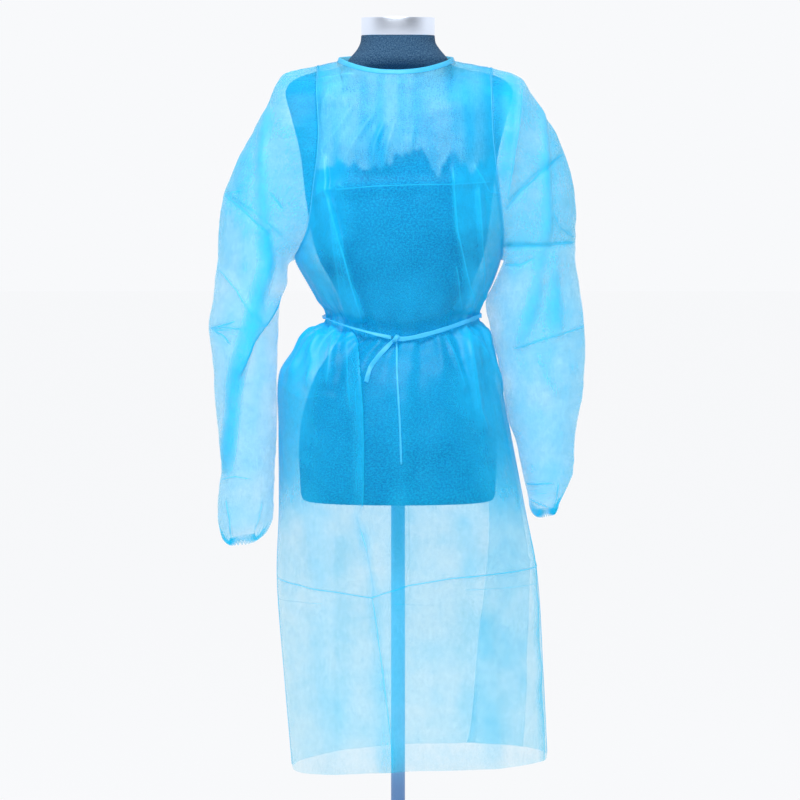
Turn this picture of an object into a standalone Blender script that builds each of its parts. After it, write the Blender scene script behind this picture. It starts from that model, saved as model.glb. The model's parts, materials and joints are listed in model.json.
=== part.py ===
"""A disposable lab gown, open at the back, on a limbless dress form with a stand.

Metres, +Z up. The front faces -Y and the wearer's right is at -X. The origin is the middle of the
stand's underside, on the floor. The gown's walls are lofted through sections whose sizes are in the
tables below, then moved out wherever they would come too near the form.
"""

import math
from collections import namedtuple

import bmesh
import bpy
from mathutils import Vector
from mathutils.bvhtree import BVHTree
from mathutils.geometry import convex_hull_2d, interpolate_bezier

# Thicknesses and clearances
WALL = 0.0012
TAPE_WALL = 0.0016
SEAM_GAP = 0.0003
REST_GAP = 0.0055
TIE_CLEARANCE = 0.0008

# The stand
BASE_RADIUS = 0.170
BASE_HEIGHT = 0.008
BASE_EDGE = 0.002
COLLAR_RADIUS = 0.024
COLLAR_HEIGHT = 0.045
POLE_RADIUS = 0.012
SOCKET_DEPTH = 0.060
ROUND_SIDES = 32

# The dress form. A section's middle is at x, and its ring is a superellipse of that power.
FORM_SIDES = 28
NECK_CAP_RADIUS = 0.0622
NECK_CAP_HEIGHT = 0.0305
FormSection = namedtuple("FormSection", "z half_width half_depth x y power")
FORM = [
    FormSection(0.739, 0.155, 0.104, 0.000, 0.000, 2.3),
    FormSection(0.742, 0.162, 0.110, 0.000, 0.000, 2.3),
    FormSection(0.755, 0.166, 0.114, 0.000, 0.000, 2.3),
    FormSection(0.860, 0.167, 0.120, 0.000, 0.004, 2.3),
    FormSection(0.950, 0.146, 0.112, 0.004, 0.004, 2.2),
    FormSection(1.010, 0.112, 0.094, 0.008, 0.000, 2.1),
    FormSection(1.050, 0.100, 0.086, 0.010, 0.000, 2.1),
    FormSection(1.095, 0.112, 0.092, 0.008, -0.002, 2.1),
    FormSection(1.160, 0.142, 0.108, 0.004, -0.004, 2.2),
    FormSection(1.250, 0.158, 0.118, 0.002, -0.004, 2.3),
    FormSection(1.330, 0.168, 0.112, 0.002, 0.000, 2.3),
    FormSection(1.395, 0.184, 0.096, 0.002, 0.004, 2.4),
    FormSection(1.430, 0.193, 0.078, 0.002, 0.007, 2.4),
    FormSection(1.446, 0.188, 0.066, 0.002, 0.008, 2.3),
    FormSection(1.457, 0.174, 0.058, 0.002, 0.008, 2.2),
    FormSection(1.466, 0.148, 0.056, 0.002, 0.008, 2.1),
    FormSection(1.473, 0.112, 0.060, 0.001, 0.007, 2.0),
    FormSection(1.481, 0.090, 0.067, 0.000, 0.004, 2.0),
    FormSection(1.492, 0.082, 0.068, 0.001, 0.000, 2.0),
    FormSection(1.505, 0.071, 0.066, 0.001, 0.000, 2.0),
    FormSection(1.517, 0.0640, 0.0635, 0.000, 0.000, 2.0),
    FormSection(1.529, 0.0622, 0.0622, 0.000, 0.000, 2.0),
]

# The gown's body, in sections from the yoke to the hem. x_left and x_right are the side seams, or
# above the underarm the armhole's edges, which stand armhole in front of and behind them. edge is
# where the over panel's free edge lies, as a share of the way from the middle of the back.
DIP_POWER = 1.3
FRONT_COLUMNS = 40
UNDER_COLUMNS = 26
OVER_COLUMNS = 18
ARMHOLE_FULL = 0.080
ARMHOLE_TURN = 0.35
Section = namedtuple(
    "Section",
    "steps z_left z_right z_front z_back x_left x_right y_front y_back armhole power edge",
)
BODY = [
    Section(2, 1.436, 1.432, 1.420, 1.440, -0.1365, 0.1570, -0.104, 0.098, 0.066, 2.3, -0.14),
    Section(2, 1.355, 1.355, 1.355, 1.360, -0.1335, 0.1600, -0.126, 0.120, 0.086, 2.5, -0.10),
    Section(1, 1.268, 1.268, 1.268, 1.268, -0.1430, 0.1700, -0.136, 0.126, 0.088, 2.5, -0.02),
    Section(1, 1.205, 1.205, 1.210, 1.205, -0.1520, 0.1775, -0.137, 0.126, 0.076, 2.4, 0.06),
    Section(1, 1.172, 1.172, 1.180, 1.172, -0.1660, 0.1765, -0.136, 0.125, 0.048, 2.4, 0.11),
    Section(2, 1.150, 1.150, 1.155, 1.150, -0.1740, 0.1740, -0.134, 0.124, 0.000, 2.3, 0.14),
    Section(1, 1.112, 1.112, 1.098, 1.110, -0.1540, 0.1610, -0.130, 0.122, 0.000, 2.2, 0.20),
    Section(1, 1.080, 1.082, 1.052, 1.082, -0.1350, 0.1460, -0.124, 0.116, 0.000, 2.1, 0.25),
    Section(1, 1.063, 1.066, 1.031, 1.068, -0.1215, 0.1375, -0.110, 0.106, 0.000, 2.1, 0.28),
    Section(1, 1.041, 1.045, 1.009, 1.046, -0.1225, 0.1385, -0.110, 0.106, 0.000, 2.1, 0.30),
    Section(1, 1.026, 1.029, 0.992, 1.030, -0.1580, 0.1560, -0.120, 0.116, 0.000, 2.1, 0.33),
    Section(1, 0.996, 1.000, 0.966, 1.002, -0.1775, 0.1630, -0.136, 0.130, 0.000, 2.2, 0.37),
    Section(2, 0.955, 0.960, 0.932, 0.960, -0.2015, 0.1712, -0.147, 0.142, 0.000, 2.2, 0.41),
    Section(2, 0.860, 0.860, 0.856, 0.860, -0.2025, 0.1900, -0.157, 0.152, 0.000, 2.2, 0.46),
    Section(2, 0.724, 0.724, 0.728, 0.724, -0.2020, 0.2160, -0.166, 0.160, 0.000, 2.3, 0.47),
    Section(1, 0.605, 0.610, 0.608, 0.605, -0.2055, 0.2370, -0.172, 0.165, 0.000, 2.3, 0.39),
    Section(1, 0.435, 0.440, 0.440, 0.435, -0.1930, 0.2475, -0.176, 0.168, 0.000, 2.3, 0.28),
    Section(0, 0.2815, 0.3015, 0.300, 0.298, -0.1800, 0.2545, -0.178, 0.170, 0.000, 2.3, 0.20),
]
UNDERARM_SECTION = 5
WAIST_SECTIONS = (8, 9)

# The top edge: the shoulder seams, then the neckline between them
TOP_STEPS = 4
SHOULDER_Z_LEFT = 1.4785
SHOULDER_Z_RIGHT = 1.4750
SHOULDER_X_LEFT = -0.136
SHOULDER_X_RIGHT = 0.158
SHOULDER_Y = 0.008
NECK_HALF_WIDTH = 0.099
NECK_X = -0.003
NECK_SIDE_Z = 1.486
NECK_FRONT_Y = -0.088
NECK_FRONT_Z = 1.463
NECK_BACK_Y = 0.082
NECK_BACK_Z = 1.492
NECK_POWER = 1.6

# Folds: outward ridges that lean sideways, along straight lines as seen from the front or back
Fold = namedtuple("Fold", "side x_top z_top x_low z_low width depth lean")
FOLDS = [
    Fold("front", -0.126, 1.270, -0.080, 1.050, 0.020, 0.010, 0.6),
    Fold("front", 0.092, 1.300, 0.126, 1.060, 0.018, 0.009, -0.5),
    Fold("front", -0.074, 1.030, -0.064, 0.560, 0.018, 0.011, 0.7),
    Fold("front", -0.104, 1.030, -0.122, 0.860, 0.016, 0.011, 0.3),
    Fold("front", 0.110, 1.040, 0.132, 0.700, 0.020, 0.011, -0.5),
    Fold("front", 0.004, 0.960, -0.012, 0.290, 0.026, 0.008, 0.4),
    Fold("front", 0.120, 0.720, 0.165, 0.290, 0.034, 0.012, -0.6),
    Fold("front", -0.130, 0.700, -0.110, 0.290, 0.034, 0.009, 0.3),
    Fold("back", -0.070, 1.030, -0.095, 0.290, 0.026, 0.012, -0.4),
    Fold("back", 0.085, 1.030, 0.120, 0.290, 0.028, 0.012, 0.4),
    Fold("back", 0.010, 1.000, 0.020, 0.560, 0.024, 0.008, 0.2),
    Fold("back", -0.080, 1.290, -0.060, 1.070, 0.022, 0.009, 0.2),
    Fold("back", 0.090, 1.280, 0.072, 1.070, 0.022, 0.009, -0.2),
]
FOLD_FADE = 0.070
HEM_ZONE_Z = 0.3

# Gathers where the tie draws the waist in
GATHERS_PER_SIDE = 8
GATHER_DEPTH_AT_TIE = 0.0032
GATHER_DEPTH = 0.0060
GATHER_REACH_UP = 0.110
GATHER_REACH_DOWN = 0.190
GATHER_NEAR_SEAM = 0.10
GATHER_SWELL = 0.030
GATHER_WANDER = 0.6
GATHER_WANDER_RATE = 5.1
GATHER_WANDER_START = 0.7

# The back opening: the over panel's edge at the neck, how far past it the under panel reaches at
# the neck, at the waist and at the hem, how far apart the two lie, and where that distance fades
OVER_EDGE_AT_NECK = -0.16
UNDER_REACH = (0.32, 0.36, 0.40)
OVERLAP_GAP = 0.0035
OVERLAP_EASE = 0.16

# Sleeves. A ring runs from its outer point to its inner one, half_depth to the front and back.
SleeveRing = namedtuple("SleeveRing", "x_outer z_outer x_inner z_inner y half_depth power")
RIGHT_SLEEVE = [
    SleeveRing(-0.194, 1.4625, -0.1815, 1.1465, 0.002, 0.090, 2.3),
    SleeveRing(-0.226, 1.4040, -0.1840, 1.1440, 0.001, 0.087, 2.2),
    SleeveRing(-0.263, 1.3360, -0.1860, 1.1410, 0.000, 0.084, 2.1),
    SleeveRing(-0.2955, 1.2620, -0.1870, 1.1360, -0.002, 0.081, 2.0),
    SleeveRing(-0.3035, 1.2150, -0.1875, 1.1265, -0.003, 0.079, 2.0),
    SleeveRing(-0.307, 1.1420, -0.1890, 1.1080, -0.004, 0.076, 2.0),
    SleeveRing(-0.314, 1.0850, -0.1985, 1.0770, -0.005, 0.073, 2.0),
    SleeveRing(-0.320, 1.0300, -0.2030, 1.0280, -0.006, 0.070, 2.0),
    SleeveRing(-0.315, 0.9620, -0.2050, 0.9620, -0.007, 0.067, 2.0),
    SleeveRing(-0.308, 0.8770, -0.2055, 0.8770, -0.008, 0.063, 2.0),
    SleeveRing(-0.301, 0.7920, -0.2085, 0.7850, -0.009, 0.058, 2.0),
    SleeveRing(-0.306, 0.7580, -0.2110, 0.7520, -0.009, 0.058, 2.0),
    SleeveRing(-0.306, 0.7060, -0.2135, 0.7140, -0.009, 0.055, 2.0),
    SleeveRing(-0.300, 0.6800, -0.2200, 0.6950, -0.009, 0.046, 2.0),
]
LEFT_SLEEVE = [
    SleeveRing(0.2085, 1.4565, 0.1805, 1.1470, 0.004, 0.090, 2.3),
    SleeveRing(0.228, 1.4300, 0.1800, 1.1410, 0.007, 0.088, 2.3),
    SleeveRing(0.255, 1.3850, 0.1770, 1.1330, 0.010, 0.086, 2.2),
    SleeveRing(0.281, 1.3360, 0.1720, 1.1240, 0.013, 0.083, 2.1),
    SleeveRing(0.300, 1.2680, 0.1665, 1.1130, 0.016, 0.079, 2.0),
    SleeveRing(0.302, 1.2000, 0.1600, 1.1000, 0.019, 0.075, 2.0),
    SleeveRing(0.304, 1.1400, 0.1540, 1.0880, 0.022, 0.071, 2.0),
    SleeveRing(0.311, 1.0940, 0.1510, 1.0700, 0.024, 0.068, 2.0),
    SleeveRing(0.3175, 1.0300, 0.1600, 1.0240, 0.026, 0.066, 2.0),
    SleeveRing(0.3185, 0.9920, 0.1690, 0.9850, 0.027, 0.064, 2.0),
    SleeveRing(0.3165, 0.9450, 0.1780, 0.9400, 0.027, 0.062, 2.0),
    SleeveRing(0.308, 0.8770, 0.1910, 0.8730, 0.026, 0.058, 2.0),
    SleeveRing(0.300, 0.8290, 0.2040, 0.8260, 0.024, 0.054, 2.0),
    SleeveRing(0.3000, 0.7980, 0.2130, 0.7910, 0.022, 0.050, 2.0),
    SleeveRing(0.2970, 0.7780, 0.2175, 0.7660, 0.021, 0.046, 2.0),
    SleeveRing(0.2740, 0.7330, 0.2270, 0.7280, 0.020, 0.036, 2.0),
]
CUFF_PLEAT_DEPTH = 0.0020
CUFF_SHRINK = (0.80, 0.56, 0.50)
CUFF_DROP = (0.012, 0.018, 0.008)

# Tapes. The short tail's path is three points from the knot, as shares of its length across and down.
BINDING_WIDTH = 0.0085
BINDING_LEAN = 0.35
TIE_HEIGHT = 0.0105
NECK_TAIL_LENGTH = 0.160
WAIST_TAIL_LENGTH = 0.205
WAIST_TAIL_DRIFT = 0.009
WAIST_SHORT_TAIL_LENGTH = 0.085
WAIST_SHORT_TAIL_PATH = ((-0.078, -0.068), (-0.48, -0.55), (-0.58, -0.84))
NECK_TAIL_DRIFT = (0.012, 0.018)
NECK_TAIL_BEND = 0.4
TAIL_STEPS = 12
TAIL_PROBES_ACROSS = (-0.6, -0.3, 0.0, 0.3, 0.6)
TAIL_PROBES_ALONG = (-0.5, 0.0, 0.5)
PINCH = 0.45
KNOT_X = -0.0034
KNOT_SIZE = (0.016, 0.009, 0.014)
KNOT_POWER = 0.7
KNOT_SET_OUT = 0.3
NECK_KNOT_X = 0.012
NECK_KNOT_SIZE = (0.014, 0.009, 0.013)
NECK_KNOT_SET_OUT = 0.0018

MATERIALS = {
    "gown_cloth": ((0.08, 0.52, 0.86, 1.0), 0.65, 0.0),
    "tape": ((0.22, 0.62, 0.90, 1.0), 0.60, 0.0),
    "form_cover": ((0.035, 0.085, 0.16, 1.0), 0.85, 0.0),
    "brushed_cap": ((0.62, 0.66, 0.74, 1.0), 0.35, 0.9),
    "stand_steel": ((0.42, 0.46, 0.55, 1.0), 0.40, 0.9),
}


def clear_scene():
    for existing in list(bpy.data.objects):
        bpy.data.objects.remove(existing, do_unlink=True)


def material(name):
    """The Principled material of that name, made the first time it is asked for."""
    if name in bpy.data.materials:
        return bpy.data.materials[name]
    colour, roughness, metallic = MATERIALS[name]
    made = bpy.data.materials.new(name)
    made.use_nodes = True
    shader = made.node_tree.nodes["Principled BSDF"]
    shader.inputs["Base Color"].default_value = colour
    shader.inputs["Roughness"].default_value = roughness
    shader.inputs["Metallic"].default_value = metallic
    return made


def superellipse(angle, power):
    """A point of the unit superellipse: (1, 0) at angle 0 and (0, 1) at a quarter turn."""
    c, s = math.cos(angle), math.sin(angle)
    return (
        math.copysign(abs(c) ** (2 / power), c),
        math.copysign(abs(s) ** (2 / power), s),
    )


def smooth_step(t):
    t = min(1.0, max(0.0, t))
    return t * t * (3 - 2 * t)


def smooth_chain(points, steps):
    """The points joined by a smooth curve, with steps[i] pieces from point i to the next."""
    tangents = []
    for i, point in enumerate(points):
        before, after = points[max(i - 1, 0)], points[min(i + 1, len(points) - 1)]
        span = (point - before).length + (after - point).length
        tangents.append((after - before) / span)
    chain = [points[0]]
    for i in range(len(points) - 1):
        reach = (points[i + 1] - points[i]).length / 3
        bent = interpolate_bezier(
            points[i],
            points[i] + tangents[i] * reach,
            points[i + 1] - tangents[i + 1] * reach,
            points[i + 1],
            steps[i] + 1,
        )
        chain.extend(bent[1:])
    return chain


def loft(name, rows, collection, finish, closed=False, caps=False):
    """A mesh object through rows of points. closed joins each row's ends, caps fills the two end rows."""
    shape = bmesh.new()
    lattice = [[shape.verts.new(p) for p in row] for row in rows]
    count = len(rows[0])
    for upper, lower in zip(lattice, lattice[1:]):
        for i in range(count if closed else count - 1):
            j = (i + 1) % count
            shape.faces.new((upper[i], lower[i], lower[j], upper[j]))
    if caps:
        shape.faces.new(lattice[0])
        shape.faces.new(list(reversed(lattice[-1])))
    mesh = bpy.data.meshes.new(name)
    shape.to_mesh(mesh)
    shape.free()
    mesh.materials.append(material(finish))
    mesh.shade_smooth()
    made = bpy.data.objects.new(name, mesh)
    collection.objects.link(made)
    return made


def add_wall(piece, thickness):
    """Gives an open surface its thickness, half to each side."""
    wall = piece.modifiers.new("wall", "SOLIDIFY")
    wall.thickness = thickness
    wall.offset = 0.0
    wall.use_even_offset = False


def tree_of(piece):
    mesh = piece.data
    return BVHTree.FromPolygons(
        [v.co for v in mesh.vertices], [tuple(p.vertices) for p in mesh.polygons]
    )


def rest_on(tree, point, gap):
    """The point, moved out to the gap from the form where it would be nearer or inside."""
    place, normal, _, _ = tree.find_nearest(point)
    height = (point - place).dot(normal)
    if height < gap:
        return place + normal * gap
    return point


def cylinder(name, radius, low, high, collection, finish, bevel=0.0):
    bpy.ops.mesh.primitive_cylinder_add(
        vertices=ROUND_SIDES, radius=radius, depth=high - low, location=(0, 0, (low + high) / 2)
    )
    made = bpy.context.object
    made.name = made.data.name = name
    for home in list(made.users_collection):
        home.objects.unlink(made)
    collection.objects.link(made)
    made.data.materials.append(material(finish))
    made.data.shade_smooth()
    made.data.set_sharp_from_angle(angle=math.radians(40))
    if bevel:
        edge = made.modifiers.new("edge", "BEVEL")
        edge.width = bevel
        edge.segments = 2
        edge.limit_method = "ANGLE"
        edge.angle_limit = math.radians(60)
    return made


def build_stand(collection, cutters):
    """Base plate, collar, pole, and the socket cutter that the form takes for the pole."""
    cylinder("stand_base", BASE_RADIUS, 0.0, BASE_HEIGHT, collection, "stand_steel", BASE_EDGE)
    collar_top = BASE_HEIGHT + SEAM_GAP + COLLAR_HEIGHT
    collar = cylinder(
        "stand_collar",
        COLLAR_RADIUS,
        BASE_HEIGHT + SEAM_GAP,
        collar_top,
        collection,
        "stand_steel",
        BASE_EDGE,
    )
    pole_top = FORM[0].z + SOCKET_DEPTH - SEAM_GAP
    cylinder(
        "stand_pole", POLE_RADIUS, BASE_HEIGHT + SEAM_GAP, pole_top, collection, "stand_steel"
    )
    bore = cylinder(
        "collar_bore",
        POLE_RADIUS + SEAM_GAP,
        0.0,
        collar_top + BASE_HEIGHT,
        cutters,
        "stand_steel",
    )
    socket = cylinder(
        "form_socket",
        POLE_RADIUS + SEAM_GAP,
        FORM[0].z - BASE_HEIGHT,
        FORM[0].z + SOCKET_DEPTH,
        cutters,
        "stand_steel",
    )
    for cutter in (bore, socket):
        cutter.hide_render = True
        cutter.display_type = "WIRE"
    cut(collar, bore)
    return socket


def cut(piece, cutter):
    hole = piece.modifiers.new("hole", "BOOLEAN")
    hole.operation = "DIFFERENCE"
    hole.object = cutter


def build_form(collection, socket):
    """The limbless torso with its neck, and the metal cap on the neck."""
    rows = []
    for s in reversed(FORM):
        ring = []
        for i in range(FORM_SIDES):
            c, d = superellipse(2 * math.pi * i / FORM_SIDES, s.power)
            ring.append(Vector((s.x + s.half_width * c, s.y + s.half_depth * d, s.z)))
        rows.append(ring)
    form = loft("dress_form", rows, collection, "form_cover", closed=True, caps=True)
    form.data.set_sharp_from_angle(angle=math.radians(60))
    cut(form, socket)
    cap_low = FORM[-1].z + SEAM_GAP
    cylinder(
        "neck_cap",
        NECK_CAP_RADIUS,
        cap_low,
        cap_low + NECK_CAP_HEIGHT,
        collection,
        "brushed_cap",
        0.0012,
    )
    return tree_of(form)


def section_point(s, side, u):
    """A point of a body section: u runs from -1 at the wearer's right seam to 1 at the left one.

    Beside an armhole the ring stops short of its quarter turn, so the panel runs on into the sleeve.
    """
    turn = 1 - ARMHOLE_TURN * min(1.0, s.armhole / ARMHOLE_FULL)
    y_share, x_share = superellipse(u * turn * math.pi / 2, s.power)
    y_end, x_end = superellipse(turn * math.pi / 2, s.power)
    x_share /= x_end
    y_share = (y_share - y_end) / (1 - y_end)
    middle, half = (s.x_left + s.x_right) / 2, (s.x_right - s.x_left) / 2
    z_side = s.z_left if u < 0 else s.z_right
    facing = -1 if side == "front" else 1
    y_edge = facing * (s.armhole + SEAM_GAP + WALL / 2)
    y_middle = s.y_front if side == "front" else s.y_back
    z_middle = s.z_front if side == "front" else s.z_back
    return Vector(
        (
            middle + half * x_share,
            y_edge + (y_middle - y_edge) * y_share,
            z_middle + (z_side - z_middle) * abs(x_share) ** DIP_POWER,
        )
    )


def top_point(side, u):
    """A point of the top edge: a shoulder seam outside the neck, the neckline within it."""
    middle = (SHOULDER_X_LEFT + SHOULDER_X_RIGHT) / 2
    half = (SHOULDER_X_RIGHT - SHOULDER_X_LEFT) / 2
    x = middle + half * math.sin(u * math.pi / 2)
    facing = -1 if side == "front" else 1
    across = abs(x - NECK_X) / NECK_HALF_WIDTH
    seam_y = SHOULDER_Y + facing * (SEAM_GAP + WALL / 2)
    if across >= 1:
        tip_x = SHOULDER_X_LEFT if x < NECK_X else SHOULDER_X_RIGHT
        tip_z = SHOULDER_Z_LEFT if x < NECK_X else SHOULDER_Z_RIGHT
        out = (abs(x - NECK_X) - NECK_HALF_WIDTH) / (abs(tip_x - NECK_X) - NECK_HALF_WIDTH)
        return Vector((x, seam_y, NECK_SIDE_Z + (tip_z - NECK_SIDE_Z) * out))
    round_in = math.sqrt(1 - across**2)
    y_middle = NECK_FRONT_Y if side == "front" else NECK_BACK_Y
    z_middle = NECK_FRONT_Z if side == "front" else NECK_BACK_Z
    return Vector(
        (
            x,
            seam_y + (y_middle - seam_y) * round_in,
            NECK_SIDE_Z + (z_middle - NECK_SIDE_Z) * round_in**NECK_POWER,
        )
    )


def neck_corners():
    """The u at which the shoulder seams end at the neckline, on each side."""
    middle = (SHOULDER_X_LEFT + SHOULDER_X_RIGHT) / 2
    half = (SHOULDER_X_RIGHT - SHOULDER_X_LEFT) / 2
    ends = (NECK_X - NECK_HALF_WIDTH, NECK_X + NECK_HALF_WIDTH)
    return [math.asin((x - middle) / half) * 2 / math.pi for x in ends]


def gather_depth(u, drop):
    """Outward reach of the gathers at u, drop metres above (positive) or below the tie."""
    reach = GATHER_REACH_UP if drop > 0 else GATHER_REACH_DOWN
    away = abs(drop) / reach
    if away >= 1:
        return 0.0
    swell = min(1.0, abs(drop) / GATHER_SWELL)
    depth = GATHER_DEPTH_AT_TIE + (GATHER_DEPTH - GATHER_DEPTH_AT_TIE) * swell
    depth *= 1 - smooth_step(away)
    depth *= smooth_step((1 - abs(u)) / GATHER_NEAR_SEAM)
    wander = GATHER_WANDER * math.sin(GATHER_WANDER_RATE * u + GATHER_WANDER_START)
    return depth * math.sin(math.pi * GATHERS_PER_SIDE * u + wander)


def fold_shift(side, point):
    """(outward, sideways) reach at a point of all folds on that side of the body."""
    outward = sideways = 0.0
    for fold in FOLDS:
        if fold.side != side or not fold.z_low - FOLD_FADE < point.z < fold.z_top + FOLD_FADE:
            continue
        along = (fold.z_top - point.z) / (fold.z_top - fold.z_low)
        centre = fold.x_top + (fold.x_low - fold.x_top) * min(1.0, max(0.0, along))
        away = abs(point.x - centre) / fold.width
        if away >= 1:
            continue
        ends = smooth_step((fold.z_top + FOLD_FADE - point.z) / FOLD_FADE)
        if fold.z_low > HEM_ZONE_Z:
            ends *= smooth_step((point.z - fold.z_low + FOLD_FADE) / FOLD_FADE)
        reach = fold.depth * ends * (1 + math.cos(math.pi * away)) / 2
        outward += reach
        sideways += reach * fold.lean
    return outward, sideways


def waist_height(u, side):
    """The tie's height at u, halfway between the two waist sections."""
    upper, lower = (section_point(BODY[i], side, u) for i in WAIST_SECTIONS)
    return (upper.z + lower.z) / 2


def body_rows(side, count, edges, lift_edge=None):
    """Rows of points of the front or the back of the body, from the top edge to the hem.

    edges holds the u of the first and last of the count columns, for the top edge and each section.
    Where lift_edge is given, the rows stand off by OVERLAP_GAP on that side of those u.
    """
    steps = [TOP_STEPS] + [s.steps for s in BODY[:-1]]
    columns = [[low + (high - low) * j / count for low, high in edges] for j in range(count + 1)]
    for corner in neck_corners():
        nearest = min(columns, key=lambda us: abs(us[0] - corner))
        if abs(nearest[0] - corner) * count < edges[0][1] - edges[0][0]:
            nearest[0] = corner
    chains, positions = [], []
    for us in columns:
        keys = [top_point(side, us[0])] + [section_point(s, side, u) for s, u in zip(BODY, us[1:])]
        chains.append(smooth_chain(keys, steps))
        positions.append(spread(us, steps))
    facing = -1 if side == "front" else 1
    rows = [
        [Vector((p.x, facing * max(facing * p.y, SEAM_GAP + WALL / 2), p.z)) for p in row]
        for row in zip(*chains)
    ]
    normals = grid_normals(rows, facing)
    lift_to = spread(lift_edge, steps) if lift_edge else None
    shaped, lifts = [], []
    for i, row in enumerate(rows):
        shaped.append([])
        lifts.append([])
        for j, point in enumerate(row):
            u, normal = positions[j][i], normals[i][j]
            level = Vector((normal.x, normal.y, 0)).normalized()
            out, across = fold_shift(side, point)
            gather = gather_depth(u, point.z - waist_height(u, side))
            seam_ease = smooth_step((1 - abs(u)) / GATHER_NEAR_SEAM)
            across_way = Vector((1, 0, 0)) - normal * normal.x
            lift = 0.0
            if lift_to:
                lift = OVERLAP_GAP * smooth_step((lift_to[i] + OVERLAP_EASE - u) / OVERLAP_EASE)
            shift = level * (out + gather) + across_way * across + normal * lift
            shaped[-1].append(point + shift * seam_ease)
            lifts[-1].append(lift)
    return shaped, lifts


def spread(values, steps):
    """Values at the keys, spread evenly over the steps between them."""
    line = [values[0]]
    for before, after, count in zip(values, values[1:], steps):
        line.extend(before + (after - before) * (i + 1) / count for i in range(count))
    return line


def grid_normals(rows, facing):
    """Outward unit normals of a grid of points. facing is the sign of y outside."""
    normals = []
    for i, row in enumerate(rows):
        line = []
        for j in range(len(row)):
            down = rows[min(i + 1, len(rows) - 1)][j] - rows[max(i - 1, 0)][j]
            along = row[min(j + 1, len(row) - 1)] - row[max(j - 1, 0)]
            normal = down.cross(along).normalized()
            line.append(normal if facing < 0 else -normal)
        normals.append(line)
    return normals


def draped(shape, tree):
    """The rows of a shape kept clear of the form, by a point's lift more where it has one."""
    rows, lifts = shape
    return [
        [rest_on(tree, point, REST_GAP + lift) for point, lift in zip(row, row_lifts)]
        for row, row_lifts in zip(rows, lifts)
    ]


def build_body(collection, tree):
    """The front panel and the two back panels, the left one lying over the right one."""
    over_edge = [OVER_EDGE_AT_NECK] + [s.edge for s in BODY]
    waist, last = WAIST_SECTIONS[0] + 1, len(over_edge) - 1
    reaches = spread(UNDER_REACH, [waist, last - waist])
    under_edge = [edge + reach for edge, reach in zip(over_edge, reaches)]
    front = draped(body_rows("front", FRONT_COLUMNS, [(-1, 1)] * len(over_edge)), tree)
    under = draped(body_rows("back", UNDER_COLUMNS, [(-1, e) for e in under_edge]), tree)
    over = draped(body_rows("back", OVER_COLUMNS, [(e, 1) for e in over_edge], under_edge), tree)
    for name, rows in (
        ("front_panel", front),
        ("back_panel_right", [list(reversed(row)) for row in under]),
        ("back_panel_left", [list(reversed(row)) for row in over]),
    ):
        add_wall(loft(name, rows, collection, "gown_cloth"), WALL)
    return front, under, over


def armhole_loop(front, back, edge):
    """The armhole as points from the shoulder tip down the front edge and up the back one."""
    last = TOP_STEPS + sum(s.steps for s in BODY[:UNDERARM_SECTION])
    ahead = [row[edge] for row in front[: last + 1]]
    behind = [row[edge] for row in back[: last + 1]]
    tip = (ahead[0] + behind[0]) / 2
    underarm = (ahead[-1] + behind[-1]) / 2
    return [tip] + ahead[1:-1] + [underarm] + list(reversed(behind[1:-1]))


def ring_angles(loop):
    """For each point of an armhole, the angle round a sleeve's ring that lies at its height."""
    top, low = loop[0].z, min(point.z for point in loop)
    turn = loop.index(min(loop, key=lambda point: point.z))
    angles = []
    for i, point in enumerate(loop):
        angle = math.acos(max(-1.0, min(1.0, 2 * (point.z - low) / (top - low) - 1)))
        angles.append(angle if i <= turn else 2 * math.pi - angle)
    return angles


def sleeve_ring(ring, angles):
    """A sleeve's ring, from its outer point down the front to the inner point and up the back."""
    middle = Vector(((ring.x_outer + ring.x_inner) / 2, ring.y, (ring.z_outer + ring.z_inner) / 2))
    outward = Vector((ring.x_outer, ring.y, ring.z_outer)) - middle
    points = []
    for angle in angles:
        c, s = superellipse(angle, ring.power)
        points.append(middle + outward * c + Vector((0, -ring.half_depth, 0)) * s)
    return points


def build_sleeve(name, collection, loop, rings, outside):
    """A sleeve from the armhole to its gathered wrist. outside is the sign of x away from the body."""
    count = len(loop)
    angles = ring_angles(loop)
    keys = [sleeve_ring(ring, angles) for ring in rings]
    rows = [[point + Vector((outside * (SEAM_GAP + WALL), 0, 0)) for point in loop]] + keys
    last = keys[-1]
    middle = sum(last, Vector()) / count
    for shrink, drop in zip(CUFF_SHRINK, CUFF_DROP):
        row = []
        for i, point in enumerate(last):
            ray = (point - middle) * shrink
            pleat = CUFF_PLEAT_DEPTH * (1 if i % 2 else -1)
            row.append(middle + ray + ray.normalized() * pleat - Vector((0, 0, drop)))
        rows.append(row)
    if outside > 0:
        rows = [list(reversed(row)) for row in rows]
    piece = loft(name, rows, collection, "gown_cloth", closed=True)
    add_wall(piece, WALL)
    return rows


def tape(name, spine, ways, widths, collection):
    """A flat tape along spine, its widths measured along ways, with a wall."""
    rows = [
        [point + way * width / 2 for point, way, width in zip(spine, ways, widths)],
        [point - way * width / 2 for point, way, width in zip(spine, ways, widths)],
    ]
    piece = loft(name, rows, collection, "tape")
    add_wall(piece, TAPE_WALL)
    return piece


def neckline(front, under, over):
    """The panels' top edges at the neck, from the under panel's end round to the over panel's."""
    edges = []
    for row in (list(reversed(under[0])), front[0], list(reversed(over[0]))):
        edges.append([p for p in row if abs(p.x - NECK_X) < NECK_HALF_WIDTH + SEAM_GAP])
    return edges[0] + edges[1] + edges[2]


def build_binding(collection, edge):
    """The neckline's binding, standing on the panels' top edges."""
    spine, ways = [], []
    for point in edge:
        outward = Vector((point.x - NECK_X, point.y - SHOULDER_Y, 0)).normalized()
        way = (Vector((0, 0, 1)) - outward * BINDING_LEAN).normalized()
        spine.append(point + way * (SEAM_GAP + WALL / 2 + BINDING_WIDTH / 2))
        ways.append(way)
    tape("neck_binding", spine, ways, [BINDING_WIDTH] * len(spine), collection)
    return spine


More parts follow.
